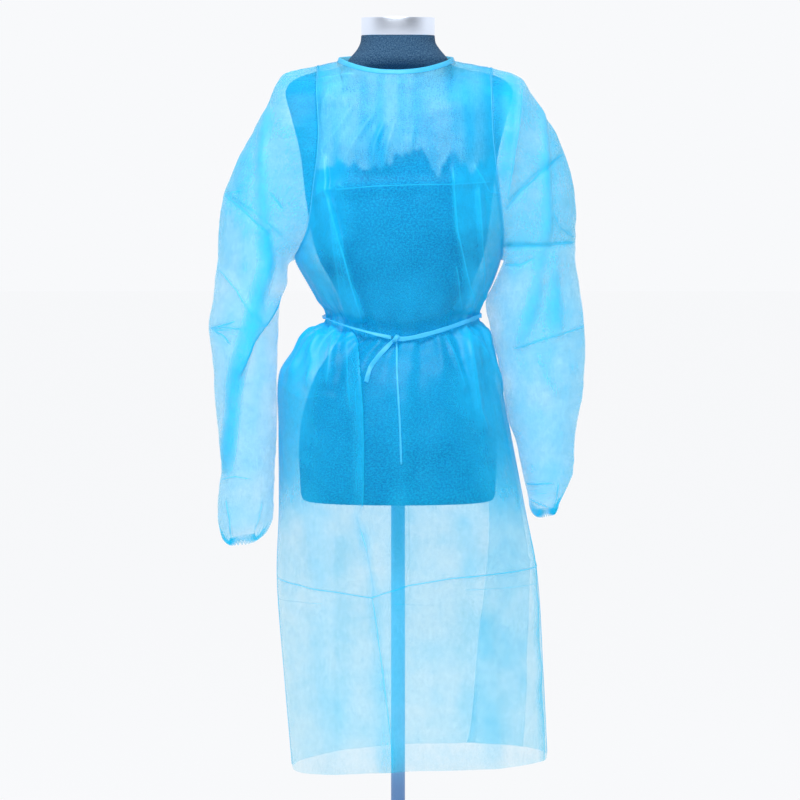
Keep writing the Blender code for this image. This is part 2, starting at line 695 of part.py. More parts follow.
def knot(name, centre, size, collection):
    """A small rounded block for the lump of a tied tape."""
    bpy.ops.mesh.primitive_uv_sphere_add(segments=12, ring_count=8, radius=0.5, location=(0, 0, 0))
    made = bpy.context.object
    made.name = made.data.name = name
    for vertex in made.data.vertices:
        x, y, z = (math.copysign(abs(2 * c) ** KNOT_POWER, c) / 2 for c in vertex.co)
        vertex.co = centre + Vector((x * size[0], y * size[1], z * size[2]))
    for home in list(made.users_collection):
        home.objects.unlink(made)
    collection.objects.link(made)
    made.data.materials.append(material("tape"))
    made.data.shade_smooth()
    return made


def tree_of_rows(*grids):
    points, faces = [], []
    for rows in grids:
        start, count = len(points), len(rows[0])
        points.extend(point for row in rows for point in row)
        for i in range(len(rows) - 1):
            for j in range(count - 1):
                a = start + i * count + j
                faces.append((a, a + count, a + count + 1, a + 1))
    return BVHTree.FromPolygons(points, faces)


def lying_tail(name, tree, facing, path, start_y, collection):
    """A tape's free end along path (x, z), from its knot at start_y down onto the cloth.

    The cloth's place is where a ray along Y meets it. The tape is pinched where it leaves the knot.
    """
    pieces = TAIL_STEPS // (len(path) - 1)
    points = smooth_chain([Vector((x, 0, z)) for x, z in path], [pieces] * (len(path) - 1))
    spine, ways = [], []
    away = WALL / 2 + TAPE_WALL / 2 + TIE_CLEARANCE
    for i, point in enumerate(points):
        along = points[min(i + 1, len(points) - 1)] - points[max(i - 1, 0)]
        way = along.cross(Vector((0, 1, 0))).normalized()
        outs = [facing * start_y] if i == 0 else []
        for share in TAIL_PROBES_ACROSS if i else ():
            for step in TAIL_PROBES_ALONG:
                probe = point + way * TIE_HEIGHT * share + along * step
                start = Vector((probe.x, facing * 0.5, probe.z))
                hit = tree.ray_cast(start, Vector((0, -facing, 0)))[0]
                if hit:
                    outs.append(facing * hit.y + away)
        spine.append(Vector((point.x, facing * max(outs), point.z)))
        ways.append(way)
    widths = [TIE_HEIGHT * min(1, PINCH + (1 - PINCH) * i / 2) for i in range(len(spine))]
    tape(name, spine, ways, widths, collection)


def tie_level(place):
    """The height of the waist tie's middle over a point (x, y)."""
    upper, lower = (BODY[i] for i in WAIST_SECTIONS)
    share = (2 * place.x - upper.x_left - upper.x_right) / (upper.x_right - upper.x_left)
    names = ["z_front" if place.y < 0 else "z_back", "z_left" if share < 0 else "z_right"]
    middle, side = ((getattr(upper, name) + getattr(lower, name)) / 2 for name in names)
    return middle + (side - middle) * min(1.0, abs(share)) ** DIP_POWER


def offset_loop(points, away):
    """A convex loop of flat points, running anticlockwise, moved out by away."""
    moved = []
    kept = [p for i, p in enumerate(points) if (p - points[i - 1]).length > 0.001]
    for before, here, after in zip([kept[-1]] + kept[:-1], kept, kept[1:] + [kept[0]]):
        first, second = (here - before).normalized(), (after - here).normalized()
        out = Vector((first.y + second.y, -first.x - second.x)).normalized()
        lean = Vector((first.y, -first.x)).dot(out)
        moved.append(here + out * away / max(lean, 0.5))
    return moved


def front_of(loop, x):
    """The smallest y at which a closed loop of points crosses x."""
    crossings = []
    for a, b in zip(loop, loop[1:] + loop[:1]):
        if a.x != b.x and min(a.x, b.x) <= x <= max(a.x, b.x):
            crossings.append(a.y + (b.y - a.y) * (x - a.x) / (b.x - a.x))
    return min(crossings)


def build_waist_tie(collection, front, under, over):
    """The tie round the waist, its knot at the front, and the two free ends."""
    row = TOP_STEPS + sum(s.steps for s in BODY[: WAIST_SECTIONS[0]])
    ring = [p for rows in (front, under, over) for i in (row, row + 1) for p in rows[i]]
    flat = [Vector((p.x, p.y)) for p in ring]
    hull = [flat[i] for i in convex_hull_2d(flat)]
    spine = []
    for place in offset_loop(hull, WALL / 2 + TIE_CLEARANCE + TAPE_WALL / 2):
        spine.append(Vector((place.x, place.y, tie_level(place))))
    clear = KNOT_SIZE[0] / 2 + SEAM_GAP
    front_y = min(front_of(spine, KNOT_X + step) for step in (-clear, 0.0, clear))
    spine = [p for p in spine if p.y > 0 or abs(p.x - KNOT_X) > clear + TIE_CLEARANCE]
    start = next(
        i for i, p in enumerate(spine) if p.y < 0 and p.x > KNOT_X and spine[i - 1].x < KNOT_X
    )
    spine = spine[start:] + spine[:start]
    level = tie_level(Vector((KNOT_X, front_y)))
    knot_y = front_y - KNOT_SIZE[1] * KNOT_SET_OUT
    knot("waist_knot", Vector((KNOT_X, knot_y, level)), KNOT_SIZE, collection)
    spine.insert(0, Vector((KNOT_X + clear, front_y, level)))
    spine.append(Vector((KNOT_X - clear, front_y, level)))
    count = len(spine)
    tape("waist_tie", spine, [Vector((0, 0, 1))] * count, [TIE_HEIGHT] * count, collection)
    cloth = tree_of_rows(front)
    below = level - KNOT_SIZE[2] / 2 - 2 * SEAM_GAP
    long_path = [
        (KNOT_X, below),
        (KNOT_X + WAIST_TAIL_DRIFT / 2, below - WAIST_TAIL_LENGTH / 2),
        (KNOT_X + WAIST_TAIL_DRIFT, below - WAIST_TAIL_LENGTH),
    ]
    short_path = [
        (KNOT_X + across * WAIST_SHORT_TAIL_LENGTH, level + down * WAIST_SHORT_TAIL_LENGTH)
        for across, down in WAIST_SHORT_TAIL_PATH
    ]
    lying_tail("waist_tail_long", cloth, -1, long_path, knot_y, collection)
    lying_tail("waist_tail_short", cloth, -1, short_path, knot_y, collection)


def build_neck_tie(collection, over, binding):
    """The knot of the neck ties on the back of the binding, and their two hanging ends."""
    back_half = [p for p in binding[len(binding) // 2 :] if p.y > 0]
    place = min(back_half, key=lambda p: abs(p.x - NECK_KNOT_X))
    y = place.y + TAPE_WALL / 2 + SEAM_GAP + NECK_KNOT_SET_OUT + NECK_KNOT_SIZE[1] / 2
    knot("neck_knot", Vector((NECK_KNOT_X, y, place.z)), NECK_KNOT_SIZE, collection)
    cloth = tree_of_rows(over)
    below = place.z - NECK_KNOT_SIZE[2] / 2 - 2 * SEAM_GAP
    bend = below - NECK_TAIL_LENGTH * NECK_TAIL_BEND
    for name, side, drift in zip(("neck_tail_right", "neck_tail_left"), (-1, 1), NECK_TAIL_DRIFT):
        path = [
            (NECK_KNOT_X + side * (TIE_HEIGHT * PINCH / 2 + TAPE_WALL), below),
            (NECK_KNOT_X + side * (TIE_HEIGHT / 2 + drift * (1 - NECK_TAIL_BEND)), bend),
            (NECK_KNOT_X + side * (TIE_HEIGHT / 2 + drift), below - NECK_TAIL_LENGTH),
        ]
        lying_tail(name, cloth, 1, path, y, collection)


def main():
    clear_scene()
    gown = bpy.data.collections.new("lab_gown_on_form")
    cutters = bpy.data.collections.new("cutters")
    for home in (gown, cutters):
        bpy.context.scene.collection.children.link(home)
    socket = build_stand(gown, cutters)
    tree = build_form(gown, socket)
    front, under, over = build_body(gown, tree)
    build_sleeve("sleeve_right", gown, armhole_loop(front, under, 0), RIGHT_SLEEVE, -1)
    build_sleeve("sleeve_left", gown, armhole_loop(front, over, -1), LEFT_SLEEVE, 1)
    binding = build_binding(gown, neckline(front, under, over))
    build_neck_tie(gown, over, binding)
    build_waist_tie(gown, front, under, over)


main()
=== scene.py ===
# %% [markdown]
# # A disposable lab gown on a dress form
# The gown is one thin, see-through, blue non-woven cloth, sewn from a front, two backs and two
# sleeves, and tied with tapes. It hangs on a dress form without limbs, on a pole with a round base.
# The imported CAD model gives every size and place. This script gives each piece its real look.

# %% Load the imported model
import json
import math
from collections import namedtuple

import bpy
import numpy as np
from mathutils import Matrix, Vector, noise
from mathutils.bvhtree import BVHTree
from mathutils.geometry import convex_hull_2d

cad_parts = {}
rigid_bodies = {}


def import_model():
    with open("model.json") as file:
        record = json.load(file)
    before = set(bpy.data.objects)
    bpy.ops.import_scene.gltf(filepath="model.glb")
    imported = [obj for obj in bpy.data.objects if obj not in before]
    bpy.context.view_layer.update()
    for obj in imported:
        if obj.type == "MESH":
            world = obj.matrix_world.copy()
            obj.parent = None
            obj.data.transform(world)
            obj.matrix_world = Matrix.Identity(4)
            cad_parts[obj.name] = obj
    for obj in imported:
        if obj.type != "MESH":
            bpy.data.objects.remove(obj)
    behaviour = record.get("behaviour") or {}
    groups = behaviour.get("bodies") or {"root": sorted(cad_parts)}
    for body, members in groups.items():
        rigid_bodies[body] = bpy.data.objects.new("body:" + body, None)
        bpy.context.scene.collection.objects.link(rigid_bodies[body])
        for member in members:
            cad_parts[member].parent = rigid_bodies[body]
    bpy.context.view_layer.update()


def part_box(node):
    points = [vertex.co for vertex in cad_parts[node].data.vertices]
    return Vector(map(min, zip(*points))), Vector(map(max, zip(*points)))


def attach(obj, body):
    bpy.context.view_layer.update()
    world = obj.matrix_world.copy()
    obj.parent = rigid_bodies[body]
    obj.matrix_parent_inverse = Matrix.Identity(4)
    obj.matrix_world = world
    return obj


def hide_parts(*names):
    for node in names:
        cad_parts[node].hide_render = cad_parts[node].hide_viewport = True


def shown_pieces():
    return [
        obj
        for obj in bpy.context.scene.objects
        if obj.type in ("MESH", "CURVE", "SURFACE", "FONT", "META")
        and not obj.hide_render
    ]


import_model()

# %% [markdown]
# ## Surfaces from sections
# A worn garment is a set of tubes and half tubes. Each could be sculpted, but sizes are easier to
# keep when it is lofted: a few named sections, a smooth curve through them down every column, and
# quads between the rows. numpy moves whole rows at once, so a fine mesh takes little time.

# %% Shares, curves and lofts
def smooth_step(t):
    t = np.clip(t, 0.0, 1.0)
    return t * t * (3 - 2 * t)


def superellipse(angle, power):
    """The cosine and sine of a superellipse: (1, 0) at angle 0 and (0, 1) at a quarter turn."""
    c, s = np.cos(angle), np.sin(angle)
    return np.sign(c) * np.abs(c) ** (2 / power), np.sign(s) * np.abs(s) ** (2 / power)


def smooth_rows(keys, steps):
    """Rows on smooth curves down the columns of the key rows, steps[i] of them after key i."""
    keys = np.asarray(keys)
    before = np.concatenate([keys[:1], keys[:-1]])
    after = np.concatenate([keys[1:], keys[-1:]])
    span = np.linalg.norm(keys - before, axis=-1) + np.linalg.norm(after - keys, axis=-1)
    tangents = (after - before) / span[..., None]
    rows = [keys[0]]
    for i, count in enumerate(steps):
        start, end = keys[i], keys[i + 1]
        reach = np.linalg.norm(end - start, axis=-1)[..., None] / 3
        first, second = start + tangents[i] * reach, end - tangents[i + 1] * reach
        for t in np.arange(1, count + 1) / count:
            near, far = 1 - t, t
            rows.append(
                near**3 * start
                + 3 * near**2 * far * first
                + 3 * near * far**2 * second
                + far**3 * end
            )
    return np.array(rows)


def spread(values, steps):
    """Values at the keys, spread evenly over the rows between them."""
    keys = np.concatenate([[0], np.cumsum(steps)])
    return np.interp(np.arange(keys[-1] + 1), keys, values)


def row_normals(rows, closed=False):
    """Unit normals of rows. Rows that run to the left, seen from outside, face outwards."""
    down = np.gradient(rows, axis=0)
    if closed:
        along = np.roll(rows, -1, axis=1) - np.roll(rows, 1, axis=1)
    else:
        along = np.gradient(rows, axis=1)
    normals = np.cross(along, down)
    return normals / np.linalg.norm(normals, axis=-1)[..., None]


def wrap(grid, closed):
    """A grid of values, with its first column again after the last one where it is closed."""
    return np.concatenate([grid, grid[:, :1]], axis=1) if closed else grid


def corners_of(grid):
    """The four corners of each cell of a grid, in turn."""
    return grid[:-1, :-1], grid[:-1, 1:], grid[1:, 1:], grid[1:, :-1]


def points_and_faces(rows, closed):
    """The points and the quads of a lofted surface, as lists."""
    rows = np.asarray(rows)
    height, width = rows.shape[:2]
    index = wrap(np.arange(height * width).reshape(height, width), closed)
    faces = np.stack(corners_of(index), axis=-1)
    return rows.reshape(-1, 3).tolist(), faces.reshape(-1, 4).tolist()


def new_piece(name, points, faces):
    """A mesh object of points and faces, in the scene."""
    mesh = bpy.data.meshes.new(name)
    mesh.from_pydata(points, [], faces)
    piece = bpy.data.objects.new(name, mesh)
    bpy.context.scene.collection.objects.link(piece)
    return piece


def loft(name, rows, closed=False, **marks):
    """A piece through rows of points, with lengths as its UV map and marks as attributes."""
    rows = np.asarray(rows)
    piece = new_piece(name, *points_and_faces(rows, closed))
    mesh = piece.data
    wrapped = wrap(rows, closed)
    along = np.linalg.norm(np.diff(wrapped, axis=1), axis=-1).mean(axis=0)
    down = np.linalg.norm(np.diff(rows, axis=0), axis=-1).mean(axis=1)
    u = np.concatenate([[0], np.cumsum(along)])
    v = np.concatenate([[0], np.cumsum(down)])
    grid = np.stack(np.meshgrid(u, v), axis=-1)
    corners = np.stack(corners_of(grid), axis=2)
    lay = mesh.uv_layers.new(name="lay")
    lay.data.foreach_set("uv", corners.reshape(-1).astype(np.float32))
    for mark, values in marks.items():
        made = mesh.attributes.new(mark, "FLOAT", "POINT")
        made.data.foreach_set("value", np.asarray(values, dtype=np.float32).reshape(-1))
    mesh.shade_smooth()
    return piece


def tree_of(rows, closed=False):
    """A search tree over a lofted surface."""
    return BVHTree.FromPolygons(*points_and_faces(rows, closed))


def edit_all_of(piece):
    """Opens a piece in edit mode with nothing else selected and all of it selected."""
    bpy.ops.object.select_all(action="DESELECT")
    bpy.context.view_layer.objects.active = piece
    piece.select_set(True)
    bpy.ops.object.mode_set(mode="EDIT")
    bpy.ops.mesh.select_all(action="SELECT")


def face_outwards():
    """Turns the open piece's faces outwards and leaves edit mode."""
    bpy.ops.mesh.normals_make_consistent(inside=False)
    bpy.ops.object.mode_set(mode="OBJECT")


print("a quarter of a soft square:", [round(float(c), 3) for c in superellipse(0.785, 2.4)])

# %% [markdown]
# ## The dress form
# A dress form is a padded torso in a woven cover. It is rigid, so it could stay the CAD solid, but
# at arm's length the neck shows the solid's flat sides. The same sections are lofted again, finer.

# %% The torso
FORM_SIDES = 96
FORM_STEPS = 5
FormSection = namedtuple("FormSection", "z half_width half_depth x y power")
FORM = [
    FormSection(1.529, 0.0622, 0.0622, 0.000, 0.000, 2.0),
    FormSection(1.517, 0.0640, 0.0635, 0.000, 0.000, 2.0),
    FormSection(1.505, 0.071, 0.066, 0.001, 0.000, 2.0),
    FormSection(1.492, 0.082, 0.068, 0.001, 0.000, 2.0),
    FormSection(1.481, 0.090, 0.067, 0.000, 0.004, 2.0),
    FormSection(1.473, 0.112, 0.060, 0.001, 0.007, 2.0),
    FormSection(1.466, 0.148, 0.056, 0.002, 0.008, 2.1),
    FormSection(1.457, 0.174, 0.058, 0.002, 0.008, 2.2),
    FormSection(1.446, 0.188, 0.066, 0.002, 0.008, 2.3),
    FormSection(1.430, 0.193, 0.078, 0.002, 0.007, 2.4),
    FormSection(1.395, 0.184, 0.096, 0.002, 0.004, 2.4),
    FormSection(1.330, 0.168, 0.112, 0.002, 0.000, 2.3),
    FormSection(1.250, 0.158, 0.118, 0.002, -0.004, 2.3),
    FormSection(1.160, 0.142, 0.108, 0.004, -0.004, 2.2),
    FormSection(1.095, 0.112, 0.092, 0.008, -0.002, 2.1),
    FormSection(1.050, 0.100, 0.086, 0.010, 0.000, 2.1),
    FormSection(1.010, 0.112, 0.094, 0.008, 0.000, 2.1),
    FormSection(0.950, 0.146, 0.112, 0.004, 0.004, 2.2),
    FormSection(0.860, 0.167, 0.120, 0.000, 0.004, 2.3),
    FormSection(0.755, 0.166, 0.114, 0.000, 0.000, 2.3),
    FormSection(0.742, 0.162, 0.110, 0.000, 0.000, 2.3),
    FormSection(0.739, 0.155, 0.104, 0.000, 0.000, 2.3),
]


def form_ring(s):
    """The points of one of the form's sections."""
    angle = -np.arange(FORM_SIDES) * 2 * math.pi / FORM_SIDES
    c, d = superellipse(angle, s.power)
    return np.stack(
        [s.x + s.half_width * c, s.y + s.half_depth * d, np.full(FORM_SIDES, s.z)], axis=-1
    )


form_rows = smooth_rows([form_ring(s) for s in FORM], [FORM_STEPS] * (len(FORM) - 1))
form = loft("form_torso", form_rows, closed=True)


def close_ends(piece):
    """Fills both open ends of a loft with faces."""
    edit_all_of(piece)
    bpy.ops.mesh.fill_holes(sides=0)
    face_outwards()


close_ends(form)
bpy.ops.object.shade_smooth_by_angle(angle=math.radians(50))
form_tree = tree_of(form_rows, closed=True)
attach(form, "root")
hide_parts("dress_form")
print("torso faces:", len(form.data.polygons))

# %% [markdown]
# ## The cap and the stand
# The neck ends in a brushed metal cap, and the form stands on a tube in a collar on a round plate.
# These are turned parts, so each starts as a cylinder with many sides. Its rims are bevelled and
# its ends inset in edit mode, as on a lathe.

# %% Turned parts
def turned(name, node, rim, sides=96):
    """A turned part as large as its CAD node, with rounded rims and a ring of faces on each end."""
    (left, _, low), (right, _, high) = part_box(node)
    radius = (right - left) / 2
    bpy.ops.object.select_all(action="DESELECT")
    bpy.ops.mesh.primitive_cylinder_add(
        vertices=sides, radius=radius, depth=high - low, location=(0, 0, (low + high) / 2)
    )
    piece = bpy.context.object
    piece.name = piece.data.name = name
    bpy.ops.object.transform_apply(location=True)
    bpy.ops.object.mode_set(mode="EDIT")
    bpy.ops.mesh.select_all(action="DESELECT")
    bpy.ops.object.mode_set(mode="OBJECT")
    for edge in piece.data.edges:
        a, b = (piece.data.vertices[i].co for i in edge.vertices)
        edge.select = abs(a.z - b.z) < rim / 10  # the edges round both ends
    bpy.ops.object.mode_set(mode="EDIT")
    bpy.ops.mesh.bevel(offset=rim, segments=4, affect="EDGES")
    bpy.ops.mesh.select_all(action="DESELECT")
    bpy.ops.object.mode_set(mode="OBJECT")
    for face in piece.data.polygons:
        face.select = abs(face.normal.z) > 0.999
    bpy.ops.object.mode_set(mode="EDIT")
    bpy.ops.mesh.inset(thickness=radius / 12, depth=0)
    bpy.ops.object.mode_set(mode="OBJECT")
    bpy.ops.object.shade_smooth_by_angle(angle=math.radians(40))
    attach(piece, "root")
    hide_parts(node)
    return piece


cap = turned("cap_of_neck", "neck_cap", 0.0012)
base = turned("base_plate", "stand_base", 0.0022, sides=160)
collar = turned("collar_of_pole", "stand_collar", 0.0020)
pole = turned("pole_tube", "stand_pole", 0.0008, sides=64)
print("turned parts:", [piece.name for piece in (cap, base, collar, pole)])

# %% [markdown]
# ## How the cloth is described
# The sections below are the gown's own sizes, the same as its solids have. Between the yoke and the
# hem each is a soft oval: its side seams, its middle in front and behind, and the height of each,
# because the cloth rises and falls round the body.

# %% Sizes of the body
SEAM_GAP = 0.0005
CLOTH = 0.0004
REST_GAP = 0.0030
FINER = 8
DIP_POWER = 1.3
ARMHOLE_FULL = 0.080
ARMHOLE_TURN = 0.35
Section = namedtuple(
    "Section",
    "steps z_left z_right z_front z_back x_left x_right y_front y_back armhole power edge",
)
BODY = [
    Section(2, 1.436, 1.432, 1.420, 1.440, -0.1365, 0.1570, -0.104, 0.098, 0.066, 2.3, -0.14),
    Section(2, 1.355, 1.355, 1.355, 1.360, -0.1335, 0.1600, -0.126, 0.120, 0.086, 2.5, -0.10),
    Section(1, 1.268, 1.268, 1.268, 1.268, -0.1430, 0.1700, -0.136, 0.126, 0.088, 2.5, -0.02),
    Section(1, 1.205, 1.205, 1.210, 1.205, -0.1520, 0.1775, -0.137, 0.126, 0.076, 2.4, 0.06),
    Section(1, 1.172, 1.172, 1.180, 1.172, -0.1660, 0.1765, -0.136, 0.125, 0.048, 2.4, 0.11),
    Section(2, 1.150, 1.150, 1.155, 1.150, -0.1740, 0.1740, -0.134, 0.124, 0.000, 2.3, 0.14),
    Section(1, 1.112, 1.112, 1.098, 1.110, -0.1540, 0.1610, -0.130, 0.122, 0.000, 2.2, 0.20),
    Section(1, 1.080, 1.082, 1.052, 1.082, -0.1350, 0.1460, -0.124, 0.116, 0.000, 2.1, 0.25),
    Section(1, 1.063, 1.066, 1.031, 1.068, -0.1215, 0.1375, -0.110, 0.106, 0.000, 2.1, 0.28),
    Section(1, 1.041, 1.045, 1.009, 1.046, -0.1225, 0.1385, -0.110, 0.106, 0.000, 2.1, 0.30),
    Section(1, 1.026, 1.029, 0.992, 1.030, -0.1580, 0.1560, -0.120, 0.116, 0.000, 2.1, 0.33),
    Section(1, 0.996, 1.000, 0.966, 1.002, -0.1775, 0.1630, -0.136, 0.130, 0.000, 2.2, 0.37),
    Section(2, 0.955, 0.960, 0.932, 0.960, -0.2015, 0.1712, -0.147, 0.142, 0.000, 2.2, 0.41),
    Section(2, 0.860, 0.860, 0.856, 0.860, -0.2025, 0.1900, -0.157, 0.152, 0.000, 2.2, 0.46),
    Section(2, 0.724, 0.724, 0.728, 0.724, -0.2020, 0.2160, -0.166, 0.160, 0.000, 2.3, 0.47),
    Section(1, 0.605, 0.610, 0.608, 0.605, -0.2055, 0.2370, -0.172, 0.165, 0.000, 2.3, 0.39),
    Section(1, 0.435, 0.440, 0.440, 0.435, -0.1930, 0.2475, -0.176, 0.168, 0.000, 2.3, 0.28),
    Section(0, 0.2815, 0.3015, 0.300, 0.298, -0.1800, 0.2545, -0.178, 0.170, 0.000, 2.3, 0.20),
]
UNDERARM_SECTION = 5
WAIST_SECTIONS = (8, 9)
TOP_STEPS = 4
SHOULDER_TIP_Z = (1.4785, 1.4750)
SHOULDER_TIP_X = (-0.136, 0.158)
SHOULDER_Y = 0.008
NECK_HALF_WIDTH = 0.099
NECK_X = -0.003
NECK_SIDE_Z = 1.486
NECK_FRONT = (-0.088, 1.463)
NECK_BACK = (0.082, 1.492)
NECK_POWER = 1.6
BODY_STEPS = [FINER * TOP_STEPS] + [FINER * s.steps for s in BODY[:-1]]


print("sections from yoke to hem:", len(BODY))


# %% Points on the sections
def section_points(s, side, u):
    """Points of a section, u from -1 at the wearer's right seam to 1 at the left one."""
    turn = 1 - ARMHOLE_TURN * min(1.0, s.armhole / ARMHOLE_FULL)
    y_share, x_share = superellipse(u * turn * math.pi / 2, s.power)
    y_end, x_end = superellipse(turn * math.pi / 2, s.power)
    x_share = x_share / x_end
    y_share = (y_share - y_end) / (1 - y_end)
    facing = -1 if side == "front" else 1
    y_edge = facing * (s.armhole + SEAM_GAP)
    y_middle = s.y_front if side == "front" else s.y_back
    z_middle = s.z_front if side == "front" else s.z_back
    z_side = np.where(u < 0, s.z_left, s.z_right)
    return np.stack(
        [
            (s.x_left + s.x_right) / 2 + (s.x_right - s.x_left) / 2 * x_share,
            y_edge + (y_middle - y_edge) * y_share,
            z_middle + (z_side - z_middle) * np.abs(x_share) ** DIP_POWER,
        ],
        axis=-1,
    )


def top_points(side, u):
    """Points of the top edge: the shoulder seams outside the neck, the neckline within it."""
    middle, half = sum(SHOULDER_TIP_X) / 2, (SHOULDER_TIP_X[1] - SHOULDER_TIP_X[0]) / 2
    x = middle + half * np.sin(u * math.pi / 2)
    facing = -1 if side == "front" else 1
    seam_y = SHOULDER_Y + facing * SEAM_GAP
    away = np.abs(x - NECK_X)
    tip_x = np.where(x < NECK_X, *SHOULDER_TIP_X)
    tip_z = np.where(x < NECK_X, *SHOULDER_TIP_Z)
    out = np.clip((away - NECK_HALF_WIDTH) / (np.abs(tip_x - NECK_X) - NECK_HALF_WIDTH), 0, 1)
    inward = np.sqrt(np.clip(1 - (away / NECK_HALF_WIDTH) ** 2, 0, 1))
    y_middle, z_middle = NECK_FRONT if side == "front" else NECK_BACK
    return np.stack(
        [
            x,
            seam_y + (y_middle - seam_y) * inward,
            NECK_SIDE_Z
            + (tip_z - NECK_SIDE_Z) * out
            + (z_middle - NECK_SIDE_Z) * inward**NECK_POWER,
        ],
        axis=-1,
    )


def tie_height(u, side):
    """The waist tie's height at u, halfway between the two waist sections."""
    upper, lower = (section_points(BODY[i], side, u)[..., 2] for i in WAIST_SECTIONS)
    return (upper + lower) / 2


print("rows from neck to hem:", sum(BODY_STEPS) + 1)

# %% [markdown]
# ## Folds and creases
# Thin non-woven cloth keeps two kinds of lines: soft folds where it hangs or is drawn in, and the
# sharp creases of the packet it came in. Both are placed as lines seen from the front.
# Each has its reach to either side, its height, how far it leans, how many more layers of cloth
# lie in it, because a fold of see-through cloth is darker, and how sharp a line it leaves. A line
# that runs down is marked on the mesh apart from a crease that runs across, so that they can cross.

# %% One fold and what it does
# Sizes are millimetres. For a line that runs down, left and right are as seen from the front. For
# one that runs to the right, left is below it and right is above.
Fold = namedtuple("Fold", "points left right height lean layers line fade")
LINE_REACH = {"line": 0.012, "crease": 0.036}
FAR = 9.0


def measure(fold, x, z):
    """(signed distance from the fold's line, its strength from 0 beyond its ends to 1)."""
    points = np.array(fold.points, dtype=float) / 1000
    lengths = np.linalg.norm(np.diff(points, axis=0), axis=1)
    best = np.full(x.shape, FAR)
    signed = np.zeros(x.shape)
    along = np.zeros(x.shape)
    start = 0.0
    for (ax, az), (bx, bz), length in zip(points[:-1], points[1:], lengths):
        dx, dz = (bx - ax) / length, (bz - az) / length
        t = (x - ax) * dx + (z - az) * dz
        inside = np.clip(t, 0, length)
        distance = np.hypot(x - ax - dx * inside, z - az - dz * inside)
        nearer = distance < best
        side = np.where(dx * (z - az) - dz * (x - ax) < 0, -1.0, 1.0)
        signed = np.where(nearer, distance * side, signed)
        along = np.where(nearer, start + t, along)
        best = np.where(nearer, distance, best)
        start += length
    fade = fold.fade / 1000
    ends = smooth_step(along / fade + 0.5) * smooth_step((start - along) / fade + 0.5)
    return signed, ends


def no_lines(shape):
    """Marks for no lines: a distance and a strength for lines that run down and that run across."""
    marks = {}
    for way, reach in LINE_REACH.items():
        marks[way + "_side"] = np.full(shape, reach)
        marks[way + "_near"] = np.zeros(shape)
    return marks


def crease(rows, normals, folds, weight=1.0):
    """The rows moved by the folds, the layers of cloth in them, and the marks of their lines."""
    x, z = rows[..., 0], rows[..., 2]
    outward = np.zeros(x.shape)
    sideways = np.zeros(x.shape)
    layers = np.zeros(x.shape)
    lines = no_lines(x.shape)
    for fold in folds:
        signed, ends = measure(fold, x, z)
        reach = np.where(signed < 0, fold.left, fold.right) / 1000
        swell = (1 + np.cos(math.pi * np.clip(np.abs(signed) / reach, 0, 1))) / 2
        swell = swell * ends * weight
        outward += fold.height / 1000 * swell
        sideways += fold.height / 1000 * fold.lean * swell
        layers += fold.layers * swell
        (first_x, first_z), (last_x, last_z) = fold.points[0], fold.points[-1]
        way = "crease" if abs(last_x - first_x) > abs(last_z - first_z) else "line"
        near = fold.line * ends * weight * smooth_step(2 - 2 * np.abs(signed) / LINE_REACH[way])
        closer = (np.abs(signed) < np.abs(lines[way + "_side"])) & (near > 0)
        lines[way + "_side"] = np.where(closer, signed, lines[way + "_side"])
        lines[way + "_near"] = np.where(closer, near, lines[way + "_near"])
    across = np.array([1.0, 0, 0]) - normals * normals[..., :1]
    moved = rows + normals * outward[..., None] + across * sideways[..., None]
    return moved, layers, lines


def rumple(rows, normals, height, size, seed):
    """The rows moved by a little uneven waviness, at that height and size in metres."""
    flat = rows.reshape(-1, 3) / size + seed * 7.3
    waves = np.array([noise.noise(Vector(p)) for p in flat]).reshape(rows.shape[:2])
    return rows + normals * (waves * height)[..., None]


print("a line is marked within, in metres:", LINE_REACH)

